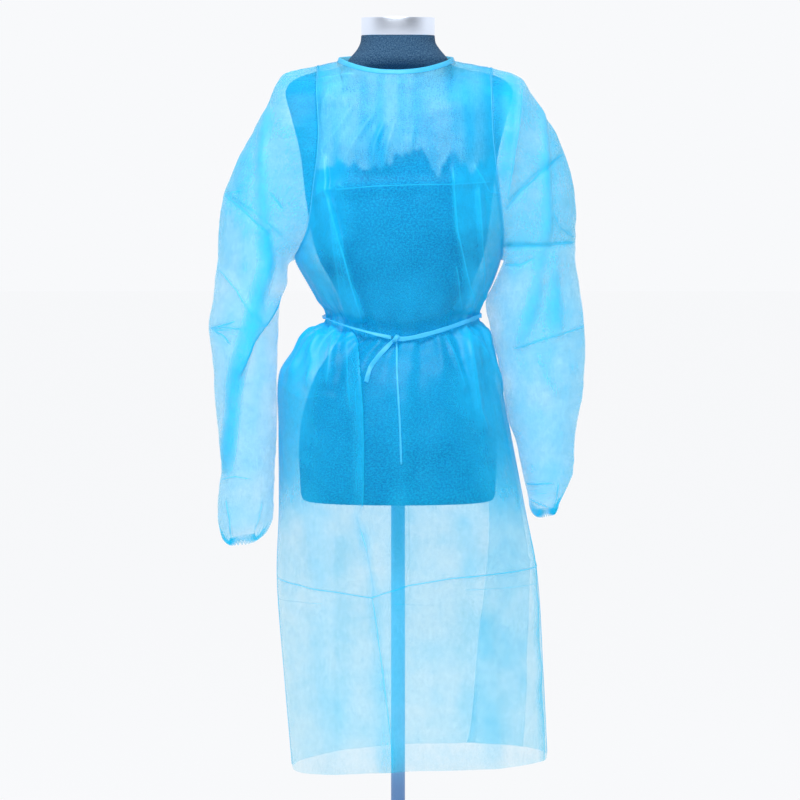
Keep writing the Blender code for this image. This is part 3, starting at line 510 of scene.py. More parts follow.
# %% The folds in front and behind
FRONT_FOLDS = [
    # Large folds that the solid has too
    Fold([(-124, 1323), (-119, 1259), (-100, 1188), (-77, 1102), (-62, 1052)],
         34, 9, 8, 0.6, 2.2, 1.6, 60),
    Fold([(-114, 1253), (-107, 1169), (-87, 1052)], 14, 14, 3, 0.3, 0.6, 0.4, 60),
    Fold([(92, 1306), (100, 1203), (122, 1097), (124, 1062)], 9, 32, 6, -0.4, 1.8, 1.6, 50),
    Fold([(135, 1273), (140, 1188), (144, 1086)], 8, 12, 5, -0.3, 0.8, 1.4, 50),
    Fold([(97, 1146), (107, 1067)], 8, 8, 3, 0.0, 0.4, 0.6, 30),
    Fold([(-77, 1037), (-67, 953), (-62, 870), (-62, 742)], 20, 6, 10, 0.7, 2.2, 1.1, 90),
    Fold([(-70, 725), (-53, 669), (-40, 597)], 14, 14, 4, 0.4, 1.0, 0.3, 60),
    Fold([(-133, 1050), (-158, 1012), (-180, 963)], 12, 12, 6, 0.2, 1.0, 0.6, 40),
    Fold([(-123, 1046), (-143, 1000), (-153, 940)], 12, 12, 7, 0.2, 1.2, 0.6, 50),
    Fold([(-108, 1040), (-111, 1000), (-120, 947)], 12, 12, 7, 0.3, 1.0, 0.6, 50),
    Fold([(-87, 1030), (-88, 987), (-80, 900)], 10, 10, 5, 0.3, 0.8, 0.5, 60),
    Fold([(117, 1030), (127, 967), (137, 900), (150, 865)], 12, 10, 7, -0.4, 1.2, 0.7, 60),
    Fold([(133, 1020), (157, 977), (178, 925)], 10, 12, 6, -0.3, 1.0, 0.7, 50),
    Fold([(80, 1025), (100, 983), (113, 937)], 10, 10, 5, -0.2, 0.6, 0.5, 50),
    Fold([(10, 940), (0, 700), (-12, 290)], 30, 26, 7, 0.4, 0.5, 0.0, 90),
    Fold([(120, 740), (150, 500), (168, 290)], 36, 30, 10, -0.6, 0.5, 0.0, 90),
    Fold([(-140, 720), (-128, 500), (-112, 290)], 34, 34, 9, 0.3, 0.4, 0.0, 90),
    Fold([(224, 700), (232, 600), (238, 481), (246, 296)], 9, 6, 4, -0.3, 2.0, 0.5, 120),
    # Creases of the packet
    Fold([(-142, 1262), (-117, 1269), (-40, 1276), (42, 1279), (97, 1279), (152, 1283)],
         8, 22, 3.0, 0.0, 0.3, 1.0, 20),
    Fold([(-206, 610), (-121, 600), (-45, 590), (12, 610), (88, 622), (170, 627), (240, 630)],
         8, 8, 1.5, 0.0, 0.25, 0.9, 8),
    Fold([(-43, 590), (-35, 537), (-28, 481), (-20, 412), (-13, 346), (-10, 290)],
         14, 8, 1.5, 0.0, 0.6, 0.5, 20),
    Fold([(-196, 940), (-163, 920), (-126, 927), (-96, 920)], 8, 8, 1.5, 0.0, 0.1, 0.2, 30),
    Fold([(-36, 600), (-30, 450), (-24, 292)], 22, 16, 5.0, 0.2, 0.9, 0.0, 80),
    # Drawn from the armpits
    Fold([(127, 1311), (152, 1266), (172, 1264)], 8, 10, 3.0, 0.0, 0.5, 0.9, 20),
    Fold([(172, 1330), (168, 1290)], 8, 8, 2.5, 0.0, 0.3, 0.8, 20),
    Fold([(-140, 1257), (-120, 1269), (-97, 1279)], 8, 8, 2.5, 0.0, 0.4, 0.8, 20),
    # Wrinkles from the neckline
    Fold([(-77, 1410), (-100, 1373), (-127, 1333)], 10, 10, 4.0, 0.0, 0.2, 0.2, 40),
    Fold([(-43, 1395), (-70, 1356), (-97, 1309)], 10, 10, 4.0, 0.0, 0.2, 0.2, 40),
    Fold([(-25, 1380), (-40, 1343), (-43, 1313)], 8, 8, 4.0, 0.0, 0.2, 0.2, 40),
    Fold([(-7, 1380), (-17, 1343), (-25, 1309)], 8, 8, 4.0, 0.0, 0.2, 0.2, 40),
    Fold([(27, 1372), (18, 1333)], 8, 8, 3.5, 0.0, 0.2, 0.2, 30),
    Fold([(-132, 1456), (-100, 1460), (-75, 1463)], 6, 9, 3.0, 0.0, 0.7, 0.8, 20),
    Fold([(-112, 1445), (-124, 1413), (-128, 1373)], 10, 10, 4.0, 0.0, 0.5, 0.2, 40),
]
BACK_FOLDS = [
    Fold([(-70, 1030), (-95, 660), (-95, 290)], 26, 26, 12, -0.4, 0.6, 0.0, 90),
    Fold([(85, 1030), (110, 660), (120, 290)], 28, 28, 12, 0.4, 0.6, 0.0, 90),
    Fold([(10, 1000), (20, 560)], 24, 24, 8, 0.2, 0.4, 0.2, 90),
    Fold([(-80, 1290), (-60, 1070)], 22, 22, 9, 0.2, 0.6, 0.4, 70),
    Fold([(90, 1280), (72, 1070)], 22, 22, 9, -0.2, 0.6, 0.4, 70),
    Fold([(-206, 612), (-60, 600), (60, 616), (240, 630)], 10, 10, 2.0, 0.0, 0.0, 0.0, 8),
    Fold([(-142, 1286), (-20, 1280), (152, 1288)], 8, 18, 3.0, 0.0, 0.3, 1.0, 20),
    Fold([(-130, 1036), (-160, 940)], 12, 12, 6, 0.2, 0.9, 0.5, 50),
    Fold([(-100, 1036), (-118, 930)], 12, 12, 6, 0.2, 0.8, 0.5, 50),
    Fold([(110, 1036), (136, 920)], 12, 12, 6, -0.2, 0.9, 0.5, 50),
    Fold([(136, 1036), (162, 950)], 12, 12, 6, -0.2, 0.8, 0.5, 50),
    Fold([(-60, 1420), (-96, 1330)], 12, 12, 4, 0.0, 0.3, 0.2, 40),
    Fold([(70, 1420), (104, 1330)], 12, 12, 4, 0.0, 0.3, 0.2, 40),
]
print("folds in front and behind:", len(FRONT_FOLDS), len(BACK_FOLDS))

# %% [markdown]
# ## The front and the two backs
# The tie gathers the waist, which is a row of small waves that die out above and below it. The
# cloth is folded and rumpled, and then kept off the form, so that the chest and hips carry it. Its
# marks say how many layers lie at each point, and where a pale highlight is painted on the upper
# chest.

# %% Shape the three body pieces
GATHERS_PER_SIDE = 8
FINE_GATHERS_PER_SIDE = 21
GATHER_AT_TIE = 0.0032
GATHER = 0.0045
FINE_GATHER = 0.0016
GATHER_REACH = (0.110, 0.190)
GATHER_NEAR_SEAM = 0.10
OVER_EDGE_AT_NECK = -0.16
UNDER_REACH = (0.32, 0.36, 0.40)
OVERLAP_GAP = 0.0035
OVERLAP_EASE = 0.16
HUNG_LAYERS = 1.1
YOKE_Z = 1.305
YOKE_RAGGED = 0.045
YOKE_LAYERS = 1.5
BUNCHED_LAYERS = 3.4
PINCHED_LAYERS = 2.2
PINCH_REACH = (0.15, 0.27)
# Where bunched cloth begins, at a height or a share of the half width, and over how far
BUNCHED_LOW = (0.67, 0.16)
BUNCHED_TOP = (1.50, 0.04)
BUNCHED_SIDE = (0.28, 0.40)
# Waves in a metre across and down, and a seed
RAGGED_WAVES = (30, 12, 1.7)
FINE_RAGGED_WAVES = (85, 40, 2.9)
TONGUE_WAVES = (48, 7, 4.2)
YOKE_FADE = 0.013
# The painted highlight on the upper chest: how far it reaches to either side, how it fades there,
# and its share on the backs
PAINTED_HIGHLIGHT_SIDE_X = 0.17
PAINTED_HIGHLIGHT_FADE = 0.08
BACK_PAINTED_HIGHLIGHT = 0.6
# The height and size of a rumple, and a seed
RUMPLES = ((0.0022, 0.050, 1), (0.0009, 0.017, 2))
FORM_SEARCH = 0.05
COLUMNS = 150


def gather_depth(u, rise):
    """Outward reach of the gathers at u, rise metres above the tie."""
    away = np.abs(rise) / np.where(rise > 0, *GATHER_REACH)
    swell = np.clip(np.abs(rise) / 0.03, 0, 1)
    drawn = 1 - smooth_step(away)
    depth = (GATHER_AT_TIE + (GATHER - GATHER_AT_TIE) * swell) * drawn
    waves = depth * np.sin(math.pi * GATHERS_PER_SIDE * u + 0.6 * np.sin(5.1 * u + 0.7))
    fine = FINE_GATHER * drawn**2.5 * np.sin(
        math.pi * FINE_GATHERS_PER_SIDE * u + 1.9 * np.sin(3.3 * u + 1.2) + 14 * rise
    )
    return waves + fine


def uneven(rows, across, down, seed):
    """Smooth noise at each point, with that many waves in a metre across and down."""
    x, z = rows[..., 0].ravel(), rows[..., 2].ravel()
    found = [noise.noise(Vector((a * across, seed, b * down))) for a, b in zip(x, z)]
    return np.array(found).reshape(rows.shape[:2])


def body_piece(side, count, low_edges, high_edges, lift_edges=None):
    """Rows of a body piece from its top edge to its hem, and their marks."""
    shares = np.linspace(0, 1, count + 1)
    low, high = (np.asarray(edges, dtype=float) for edges in (low_edges, high_edges))
    us = low[:, None] + (high - low)[:, None] * shares
    keys = [top_points(side, us[0])]
    keys += [section_points(s, side, u) for s, u in zip(BODY, us[1:])]
    rows = smooth_rows(keys, BODY_STEPS)
    u = np.stack([spread(us[:, j], BODY_STEPS) for j in range(count + 1)], axis=1)
    facing = -1 if side == "front" else 1
    below = slice(BODY_STEPS[0], None)
    rows[below, :, 1] = facing * np.maximum(facing * rows[below, :, 1], SEAM_GAP)
    normals = row_normals(rows) * (-1 if side == "front" else 1)
    normals *= np.sign(np.sum(normals[..., 1] * facing))
    waves = gather_depth(u, rows[..., 2] - tie_height(u, side))
    ease = smooth_step((1 - np.abs(u)) / GATHER_NEAR_SEAM)[..., None]
    folds = FRONT_FOLDS if side == "front" else BACK_FOLDS
    moved, layers, lines = crease(rows, normals, folds)
    level = normals * [1, 1, 0]
    level /= np.linalg.norm(level, axis=-1)[..., None]
    lift = np.zeros(u.shape)
    if lift_edges is not None:
        edge = spread(lift_edges, BODY_STEPS)[:, None]
        lift = OVERLAP_GAP * smooth_step((edge + OVERLAP_EASE - u) / OVERLAP_EASE)
    shift = moved - rows + level * waves[..., None] + normals * lift[..., None]
    rows = rows + shift * ease
    for height, size, seed in RUMPLES:
        rows = rows + (rumple(rows, normals, height, size, seed) - rows) * ease
    for i in range(rows.shape[0]):
        for j in range(rows.shape[1]):
            point = Vector(rows[i, j])
            place, normal, _, _ = form_tree.find_nearest(point, FORM_SEARCH)
            if place is None:
                continue
            gap = REST_GAP + lift[i, j]
            if (point - place).dot(normal) < gap:
                rows[i, j] = place + normal * gap
    z = rows[..., 2]
    bunched = smooth_step((z - BUNCHED_LOW[0]) / BUNCHED_LOW[1])
    bunched = bunched * smooth_step((BUNCHED_TOP[0] - z) / BUNCHED_TOP[1])
    bunched = bunched * smooth_step((np.abs(u) - BUNCHED_SIDE[0]) / BUNCHED_SIDE[1])
    # Above YOKE_Z, with a ragged lower edge, the cloth gets more layers and a painted highlight:
    # pale tongues near the middle of the chest, standing in for the high light's haze, weaker on
    # the backs
    ragged = uneven(rows, *RAGGED_WAVES) + 0.35 * uneven(rows, *FINE_RAGGED_WAVES)
    tongues = uneven(rows, *TONGUE_WAVES)
    yoke_and_painted_highlight = smooth_step((z + YOKE_RAGGED * ragged - YOKE_Z) / YOKE_FADE)
    within = smooth_step((PAINTED_HIGHLIGHT_SIDE_X - np.abs(rows[..., 0])) / PAINTED_HIGHLIGHT_FADE)
    painted_highlight = yoke_and_painted_highlight * np.clip(0.75 + 1.1 * tongues, 0, 1) * within
    rise = z - tie_height(u, side)
    pinched = 1 - smooth_step(np.abs(rise) / np.where(rise > 0, *PINCH_REACH))
    layers = HUNG_LAYERS + layers + YOKE_LAYERS * yoke_and_painted_highlight * (1 - bunched)
    layers = layers + BUNCHED_LAYERS * bunched + PINCHED_LAYERS * pinched * (0.45 + 0.55 * bunched)
    marks = dict(cloth_layers=layers, **lines)
    marks["cloth_bloom"] = painted_highlight if side == "front" else BACK_PAINTED_HIGHLIGHT * painted_highlight
    return rows, marks


print("gathers in front:", GATHERS_PER_SIDE)

# %% Make the front and the backs
over_edge = [OVER_EDGE_AT_NECK] + [s.edge for s in BODY]
waist_key = WAIST_SECTIONS[0] + 1
reaches = spread(UNDER_REACH, [waist_key, len(over_edge) - 1 - waist_key])
under_edge = [edge + reach for edge, reach in zip(over_edge, reaches)]
ends = [1.0] * len(over_edge)
starts = [-1.0] * len(over_edge)
front_rows, front_marks = body_piece("front", COLUMNS, starts, ends)
under_rows, under_marks = body_piece("back", 96, starts, under_edge)
over_rows, over_marks = body_piece("back", 84, over_edge, ends, under_edge)


def sew(name, rows, marks, node, turn, closed=False):
    """The cloth piece over its CAD node, with a thin wall. turn runs the rows the other way."""
    if turn:
        rows = rows[:, ::-1]
        marks = {mark: values[:, ::-1] for mark, values in marks.items()}
    piece = loft(name, rows, closed, **marks)
    wall = piece.modifiers.new("wall", "SOLIDIFY")
    wall.thickness = CLOTH
    wall.offset = 0.0
    wall.use_even_offset = False
    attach(piece, "root")
    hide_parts(node)
    return piece


gown_front = sew("gown_front", front_rows, front_marks, "front_panel", False)
gown_under = sew("gown_back_right", under_rows, under_marks, "back_panel_right", True)
gown_over = sew("gown_back_left", over_rows, over_marks, "back_panel_left", True)
print("quads in the body:", [len(p.data.polygons) for p in (gown_front, gown_under, gown_over)])

# %% [markdown]
# ## The sleeves
# A sleeve is a tube from the armhole to an elasticated wrist. Its first ring is the armhole itself,
# point for point, so that it meets the panels along the seam. The other rings are ovals, and the
# last ones are drawn in, with pleats that grow towards the elastic.

# %% Sizes of the sleeves
SleeveRing = namedtuple("SleeveRing", "x_outer z_outer x_inner z_inner y half_depth power")
RIGHT_SLEEVE = [
    SleeveRing(-0.194, 1.4625, -0.1815, 1.1465, 0.002, 0.090, 2.3),
    SleeveRing(-0.226, 1.4040, -0.1840, 1.1440, 0.001, 0.087, 2.2),
    SleeveRing(-0.263, 1.3360, -0.1860, 1.1410, 0.000, 0.084, 2.1),
    SleeveRing(-0.2955, 1.2620, -0.1870, 1.1360, -0.002, 0.081, 2.0),
    SleeveRing(-0.3035, 1.2150, -0.1875, 1.1265, -0.003, 0.079, 2.0),
    SleeveRing(-0.307, 1.1420, -0.1890, 1.1080, -0.004, 0.076, 2.0),
    SleeveRing(-0.314, 1.0850, -0.1985, 1.0770, -0.005, 0.073, 2.0),
    SleeveRing(-0.320, 1.0300, -0.2030, 1.0280, -0.006, 0.070, 2.0),
    SleeveRing(-0.315, 0.9620, -0.2050, 0.9620, -0.007, 0.067, 2.0),
    SleeveRing(-0.308, 0.8770, -0.2055, 0.8770, -0.008, 0.063, 2.0),
    SleeveRing(-0.301, 0.7920, -0.2085, 0.7850, -0.009, 0.058, 2.0),
    SleeveRing(-0.306, 0.7580, -0.2110, 0.7520, -0.009, 0.058, 2.0),
    SleeveRing(-0.306, 0.7060, -0.2135, 0.7140, -0.009, 0.055, 2.0),
    SleeveRing(-0.300, 0.6800, -0.2200, 0.6950, -0.009, 0.046, 2.0),
]
LEFT_SLEEVE = [
    SleeveRing(0.2085, 1.4565, 0.1805, 1.1470, 0.004, 0.090, 2.3),
    SleeveRing(0.228, 1.4300, 0.1800, 1.1410, 0.007, 0.088, 2.3),
    SleeveRing(0.255, 1.3850, 0.1770, 1.1330, 0.010, 0.086, 2.2),
    SleeveRing(0.281, 1.3360, 0.1720, 1.1240, 0.013, 0.083, 2.1),
    SleeveRing(0.300, 1.2680, 0.1665, 1.1130, 0.016, 0.079, 2.0),
    SleeveRing(0.302, 1.2000, 0.1600, 1.1000, 0.019, 0.075, 2.0),
    SleeveRing(0.304, 1.1400, 0.1540, 1.0880, 0.022, 0.071, 2.0),
    SleeveRing(0.311, 1.0940, 0.1510, 1.0700, 0.024, 0.068, 2.0),
    SleeveRing(0.3175, 1.0300, 0.1600, 1.0240, 0.026, 0.066, 2.0),
    SleeveRing(0.3185, 0.9920, 0.1690, 0.9850, 0.027, 0.064, 2.0),
    SleeveRing(0.3165, 0.9450, 0.1780, 0.9400, 0.027, 0.062, 2.0),
    SleeveRing(0.308, 0.8770, 0.1910, 0.8730, 0.026, 0.058, 2.0),
    SleeveRing(0.300, 0.8290, 0.2040, 0.8260, 0.024, 0.054, 2.0),
    SleeveRing(0.3000, 0.7980, 0.2130, 0.7910, 0.022, 0.050, 2.0),
    SleeveRing(0.2970, 0.7780, 0.2175, 0.7660, 0.021, 0.046, 2.0),
    SleeveRing(0.2740, 0.7330, 0.2270, 0.7280, 0.020, 0.036, 2.0),
]
SLEEVE_STEP = 0.0060
CUFF_SHRINK = (0.80, 0.56, 0.50)
CUFF_DROP = (0.012, 0.018, 0.008)
CUFF_STEPS = (4, 4, 3)
CUFF_PLEATS = 26
CUFF_PLEAT = 0.0024
CUFF_CLEARER = 0.35
CUFF_ROWS = (6, 8)
SEAM_ROWS = 6
FULL_FROM = (1.10, 0.12)
FACING_SHARPNESS = 2.5
SLEEVE_RUMPLES = ((0.0030, 0.048, 3), (0.0011, 0.016, 4))
print("rings in the sleeves:", len(RIGHT_SLEEVE), len(LEFT_SLEEVE))

# %% Folds of the sleeves
RIGHT_SLEEVE_FOLDS = {
    "front": [
        Fold([(-296, 1262), (-258, 1233), (-216, 1192)], 10, 8, -2.5, 0.0, 0.8, 1.0, 12),
        Fold([(-296, 1263), (-264, 1269)], 8, 8, -2.0, 0.0, 0.4, 0.8, 15),
        Fold([(-214, 1264), (-204, 1252), (-194, 1238)], 7, 7, -2.0, 0.0, 0.5, 0.9, 12),
        Fold([(-318, 1034), (-299, 1040), (-277, 1047)], 8, 8, -2.5, 0.0, 0.8, 0.9, 15),
        Fold([(-318, 1034), (-297, 1023), (-285, 1010)], 8, 8, -2.5, 0.0, 0.6, 0.9, 15),
        Fold([(-297, 1130), (-270, 1099), (-250, 1061)], 9, 9, 3.0, 0.0, 0.6, 0.7, 40),
        Fold([(-227, 1200), (-222, 1147), (-238, 1085), (-258, 1020), (-274, 952), (-286, 850),
              (-291, 795)], 20, 20, 6.0, 0.5, 5.0, 0.0, 50),
        Fold([(-201, 1085), (-219, 1053), (-250, 1012), (-270, 958)],
             30, 5, 7.0, 0.8, 3.0, 0.6, 40),
        Fold([(-219, 1403), (-229, 1336), (-229, 1269), (-226, 1200)],
             15, 15, 6.0, 0.3, 1.8, 0.0, 70),
        Fold([(-298, 778), (-274, 785), (-250, 781)], 6, 6, 2.0, 0.0, 0.5, 0.6, 15),
        Fold([(-291, 744), (-284, 710), (-281, 676)], 6, 6, 2.0, 0.0, 0.5, 0.5, 20),
        Fold([(-230, 744), (-237, 710), (-247, 683)], 6, 6, 2.0, 0.0, 0.5, 0.5, 20),
    ],
    "back": [
        Fold([(-296, 1262), (-250, 1232), (-200, 1190)], 10, 10, -2.5, 0.0, 0.6, 0.9, 14),
        Fold([(-270, 1330), (-262, 1200), (-262, 1080)], 22, 22, 7.0, 0.3, 0.8, 0.0, 80),
        Fold([(-316, 1034), (-270, 1028), (-220, 1036)], 10, 10, -3.0, 0.0, 0.6, 0.8, 25),
        Fold([(-230, 1020), (-250, 860)], 18, 18, 5.0, 0.3, 0.6, 0.0, 70),
    ],
}
LEFT_SLEEVE_FOLDS = {
    "front": [
        Fold([(278, 1328), (244, 1302), (231, 1287), (209, 1270), (182, 1238)],
             9, 9, -2.5, 0.0, 1.2, 1.0, 10),
        Fold([(170, 1174), (231, 1174), (300, 1179)], 7, 7, -3.0, 0.0, 1.8, 1.0, 8),
        Fold([(174, 1142), (207, 1142), (228, 1152)], 7, 7, -2.0, 0.0, 0.8, 0.8, 20),
        Fold([(261, 1231), (274, 1204), (298, 1188)], 7, 7, 2.0, 0.0, 0.5, 0.7, 16),
        Fold([(199, 1000), (248, 1017), (316, 1036)], 7, 7, 2.0, 0.0, 0.7, 0.9, 16),
        Fold([(240, 1440), (248, 1319), (252, 1226), (250, 1180)], 14, 12, 6.0, 0.3, 1.6, 0.0, 70),
        Fold([(242, 1165), (230, 1083), (206, 1005)], 18, 20, 6.0, 0.3, 2.0, 0.0, 50),
        Fold([(262, 1165), (266, 1083), (270, 1023)], 20, 18, 6.0, 0.3, 1.4, 0.0, 50),
        Fold([(236, 995), (248, 956), (267, 917)], 14, 14, 5.0, 0.3, 1.0, 0.0, 50),
        Fold([(215, 767), (262, 770)], 5, 5, 2.0, 0.0, 0.5, 0.9, 15),
        Fold([(228, 741), (257, 729)], 5, 5, 2.0, 0.0, 0.5, 0.8, 15),
        Fold([(267, 734), (272, 769)], 5, 5, 2.0, 0.0, 0.5, 0.7, 12),
        Fold([(209, 1437), (201, 1368), (184, 1254)], 6, 9, 3.0, 0.0, -0.3, 0.6, 40),
        Fold([(190, 1452), (190, 1370), (180, 1290)], 20, 18, 2.0, 0.0, 3.0, 0.0, 60),
    ],
    "back": [
        Fold([(278, 1328), (230, 1290), (190, 1250)], 10, 10, -2.5, 0.0, 0.6, 0.9, 14),
        Fold([(300, 1179), (240, 1174), (170, 1176)], 8, 8, -3.0, 0.0, 0.8, 1.0, 14),
        Fold([(262, 1400), (262, 1200)], 22, 22, 7.0, 0.3, 0.8, 0.0, 80),
        Fold([(270, 1150), (255, 930)], 20, 20, 6.0, 0.3, 0.8, 0.0, 80),
    ],
}


print("folds in the sleeves:", *(
    len(folds[facing]) for folds in (RIGHT_SLEEVE_FOLDS, LEFT_SLEEVE_FOLDS) for facing in folds
))


# %% Shape the sleeves
def armhole_loop(front, back, edge):
    """The armhole's points from the shoulder tip down the front edge and up the back one."""
    last = sum(BODY_STEPS[: UNDERARM_SECTION + 1])
    ahead, behind = front[: last + 1, edge], back[: last + 1, edge]
    tip = (ahead[:1] + behind[:1]) / 2
    underarm = (ahead[-1:] + behind[-1:]) / 2
    return np.concatenate([tip, ahead[1:-1], underarm, behind[-2:0:-1]])


def ring_angles(loop):
    """For each point of an armhole, the angle round a sleeve's ring that lies at its height."""
    top, low = loop[0, 2], loop[:, 2].min()
    turn = int(loop[:, 2].argmin())
    angles = np.arccos(np.clip(2 * (loop[:, 2] - low) / (top - low) - 1, -1, 1))
    return np.where(np.arange(len(loop)) <= turn, angles, 2 * math.pi - angles)


def sleeve_ring(ring, angles):
    """A ring, from its outer point down the front to the inner point and up the back."""
    outer = np.array([ring.x_outer, ring.y, ring.z_outer])
    inner = np.array([ring.x_inner, ring.y, ring.z_inner])
    c, s = superellipse(angles, ring.power)
    middle = (outer + inner) / 2
    return middle + (outer - middle) * c[:, None] + np.array([0, -ring.half_depth, 0]) * s[:, None]


def sleeve(rings, loop, outside, folds, low_layers, high_layers):
    """Rows and marks of a sleeve. outside is the sign of x away from the body."""
    angles = ring_angles(loop)
    keys = [loop + [outside * SEAM_GAP, 0, 0]] + [sleeve_ring(ring, angles) for ring in rings]
    steps = []
    for upper, lower in zip(keys, keys[1:]):
        distance = np.linalg.norm(upper - lower, axis=-1).max()
        steps.append(max(2, round(distance / SLEEVE_STEP)))
    last = keys[-1]
    middle = last.mean(axis=0)
    for shrink, drop in zip(CUFF_SHRINK, CUFF_DROP):
        keys.append(middle + (last - middle) * shrink - [0, 0, drop])
    steps += CUFF_STEPS
    rows = smooth_rows(keys, steps)
    if outside > 0:
        rows, angles = rows[:, ::-1], angles[::-1]
    normals = row_normals(rows, closed=True)
    centre = rows.mean(axis=1, keepdims=True)
    normals *= np.sign(np.sum((rows - centre) * normals))
    layers = np.ones(rows.shape[:2])
    marks = no_lines(rows.shape[:2])
    moved = rows.copy()
    for name, facing in (("front", -1), ("back", 1)):
        weight = smooth_step(normals[..., 1] * facing * FACING_SHARPNESS)
        shape, extra, lines = crease(rows, normals, folds[name], weight)
        moved += shape - rows
        layers += extra
        for way in LINE_REACH:
            side, near = way + "_side", way + "_near"
            closer = (np.abs(lines[side]) < np.abs(marks[side])) & (lines[near] > 0.02)
            marks[side] = np.where(closer, lines[side], marks[side])
            marks[near] = np.maximum(marks[near], lines[near])
    count = len(rows)
    row = np.arange(count)[:, None]
    from_seam = smooth_step(row / SEAM_ROWS)
    rows = rows + (moved - rows) * from_seam[..., None]
    cuff = count - sum(CUFF_STEPS)
    drawn = smooth_step((row - cuff + CUFF_ROWS[0]) / CUFF_ROWS[1])
    pleats = CUFF_PLEAT * drawn * np.cos(CUFF_PLEATS * angles + 1.3 * np.sin(3 * angles))
    rows = rows + normals * pleats[..., None]
    for height, size, seed in SLEEVE_RUMPLES:
        rows = rows + (rumple(rows, normals, height, size, seed) - rows) * from_seam[..., None]
    full = smooth_step((rows[..., 2] - FULL_FROM[0]) / FULL_FROM[1])
    layers = layers + low_layers - 1 + (high_layers - low_layers) * full
    layers = layers * (1 - CUFF_CLEARER * drawn)
    return rows, dict(cloth_layers=layers, **marks)


right_loop = armhole_loop(front_rows, under_rows, 0)
left_loop = armhole_loop(front_rows, over_rows, -1)
right_rows, right_marks = sleeve(RIGHT_SLEEVE, right_loop, -1, RIGHT_SLEEVE_FOLDS, 1.6, 2.5)
left_rows, left_marks = sleeve(LEFT_SLEEVE, left_loop, 1, LEFT_SLEEVE_FOLDS, 2.1, 2.5)
gown_right = sew("gown_sleeve_right", right_rows, right_marks, "sleeve_right", True, closed=True)
gown_left = sew("gown_sleeve_left", left_rows, left_marks, "sleeve_left", True, closed=True)
print("quads in the sleeves:", [len(p.data.polygons) for p in (gown_right, gown_left)])

# %% [markdown]
# ## Seams and stitches
# Where two pieces meet, their edges are pressed to one side, which shows as a narrow paler line,
# and a row of short stitches runs along it. The pressed edge is a thin ribbon, and a stitch is a
# small bar with few faces, because there are hundreds of them.

# %% Pressed edges and rows of stitches
SEAM_WIDTH = 0.0026
SEAM_THICKNESS = 0.0007
SEAM_RISE = 0.0007
SEAM_STEP = 0.006
STITCH_ASIDE = 0.0026
STITCH_LIFT = 0.0005
STITCH = (0.0030, 0.0007, 0.0005)
STITCH_PITCH = 0.0046
BAR = np.array([(x, y, z) for x in (-0.5, 0.5) for y in (-0.5, 0.5) for z in (-0.5, 0.5)])
BAR_FACES = [(0, 1, 3, 2), (4, 6, 7, 5), (0, 4, 5, 1), (2, 3, 7, 6), (0, 2, 6, 4), (1, 5, 7, 3)]


def along_path(points, values, stations):
    """Values at distances along a path of points, with unit length."""
    lengths = np.linalg.norm(np.diff(points, axis=0), axis=1)
    at = np.concatenate([[0], np.cumsum(lengths)])
    return np.stack([np.interp(stations, at, values[:, k]) for k in range(3)], axis=-1)


def path_length(points):
    """The length of a path of points."""
    return float(np.linalg.norm(np.diff(points, axis=0), axis=1).sum())


def pressed_edge(name, points, outs):
    """A thin ribbon along points, with outs pointing away from the cloth."""
    stations = np.arange(0, path_length(points), SEAM_STEP)
    middle = along_path(points, points, stations)
    out = along_path(points, outs, stations)
    ahead = np.gradient(middle, axis=0)
    out /= np.linalg.norm(out, axis=-1)[:, None]
    way = np.cross(out, ahead)
    way /= np.linalg.norm(way, axis=-1)[:, None]
    middle = middle + out * SEAM_RISE
    half, deep = way * SEAM_WIDTH / 2, out * SEAM_THICKNESS / 2
    rows = np.stack([middle + half, middle + deep, middle - half, middle - deep], axis=1)
    ribbon = loft(name, rows, closed=True)
    close_ends(ribbon)
    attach(ribbon, "root")
    return ribbon


def stitches(name, points, outs, aside=STITCH_ASIDE, rise=SEAM_RISE + STITCH_LIFT):
    """A row of stitches beside a path, aside to its left as seen from outside."""
    stations = np.arange(STITCH_PITCH, path_length(points) - STITCH_PITCH, STITCH_PITCH)
    middle = along_path(points, points, stations)
    ahead = along_path(points, points, stations + 0.001) - middle
    out = along_path(points, outs, stations)
    out /= np.linalg.norm(out, axis=-1)[:, None]
    ahead /= np.linalg.norm(ahead, axis=-1)[:, None]
    way = np.cross(out, ahead)
    middle = middle + out * rise + way * aside
    frame_of = np.stack([ahead, way, out], axis=1) * np.array(STITCH)[None, :, None]
    corners = middle[:, None, :] + np.einsum("ck,nkd->ncd", BAR, frame_of)
    faces = [[8 * i + c for c in face] for i in range(len(middle)) for face in BAR_FACES]
    row = new_piece(name, corners.reshape(-1, 3).tolist(), faces)
    edit_all_of(row)
    face_outwards()
    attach(row, "root")
    return len(middle)


print("a stitch, in metres:", STITCH)

# %% Sew the armholes, the sides and the shoulders
count = 0
for side, loop, edge, outside in (("right", right_loop, 0, -1.0), ("left", left_loop, -1, 1.0)):
    ring = np.concatenate([loop, loop[:1]])
    outs = ring - ring.mean(axis=0)
    outs[:, 0] = 0
    pressed_edge("seam_armhole_" + side, ring, outs)
    count += stitches("stitches_armhole_" + side, ring, outs)
    down = front_rows[sum(BODY_STEPS[: UNDERARM_SECTION + 1]) :, edge]
    outs = np.tile([outside, 0.0, 0.0], (len(down), 1))
    pressed_edge("seam_side_" + side, down, outs)
    count += stitches("stitches_side_" + side, down, outs)
UNDER_BINDING = 0.002
top = front_rows[0]
for side, outside in (("right", -1.0), ("left", 1.0)):
    shoulder = top[(top[:, 0] - NECK_X) * outside > NECK_HALF_WIDTH - UNDER_BINDING]
    shoulder = shoulder * [1, 0, 1] + [0, SHOULDER_Y, 0]
    outs = np.tile([0.0, 0.0, 1.0], (len(shoulder), 1))
    pressed_edge("seam_shoulder_" + side, shoulder, outs)
print("stitches in the armholes and sides:", count)

# %% [markdown]
# ## The tapes
# The neckline is bound with a folded strip, and the waist tie is a folded strip too. A folded strip
# has a flat, rounded section, so each is a ribbon with twelve points round it, swept along its
# path.

# %% A folded strip along a path
SECTION_SIDES = 12
SECTION_POWER = 2.6


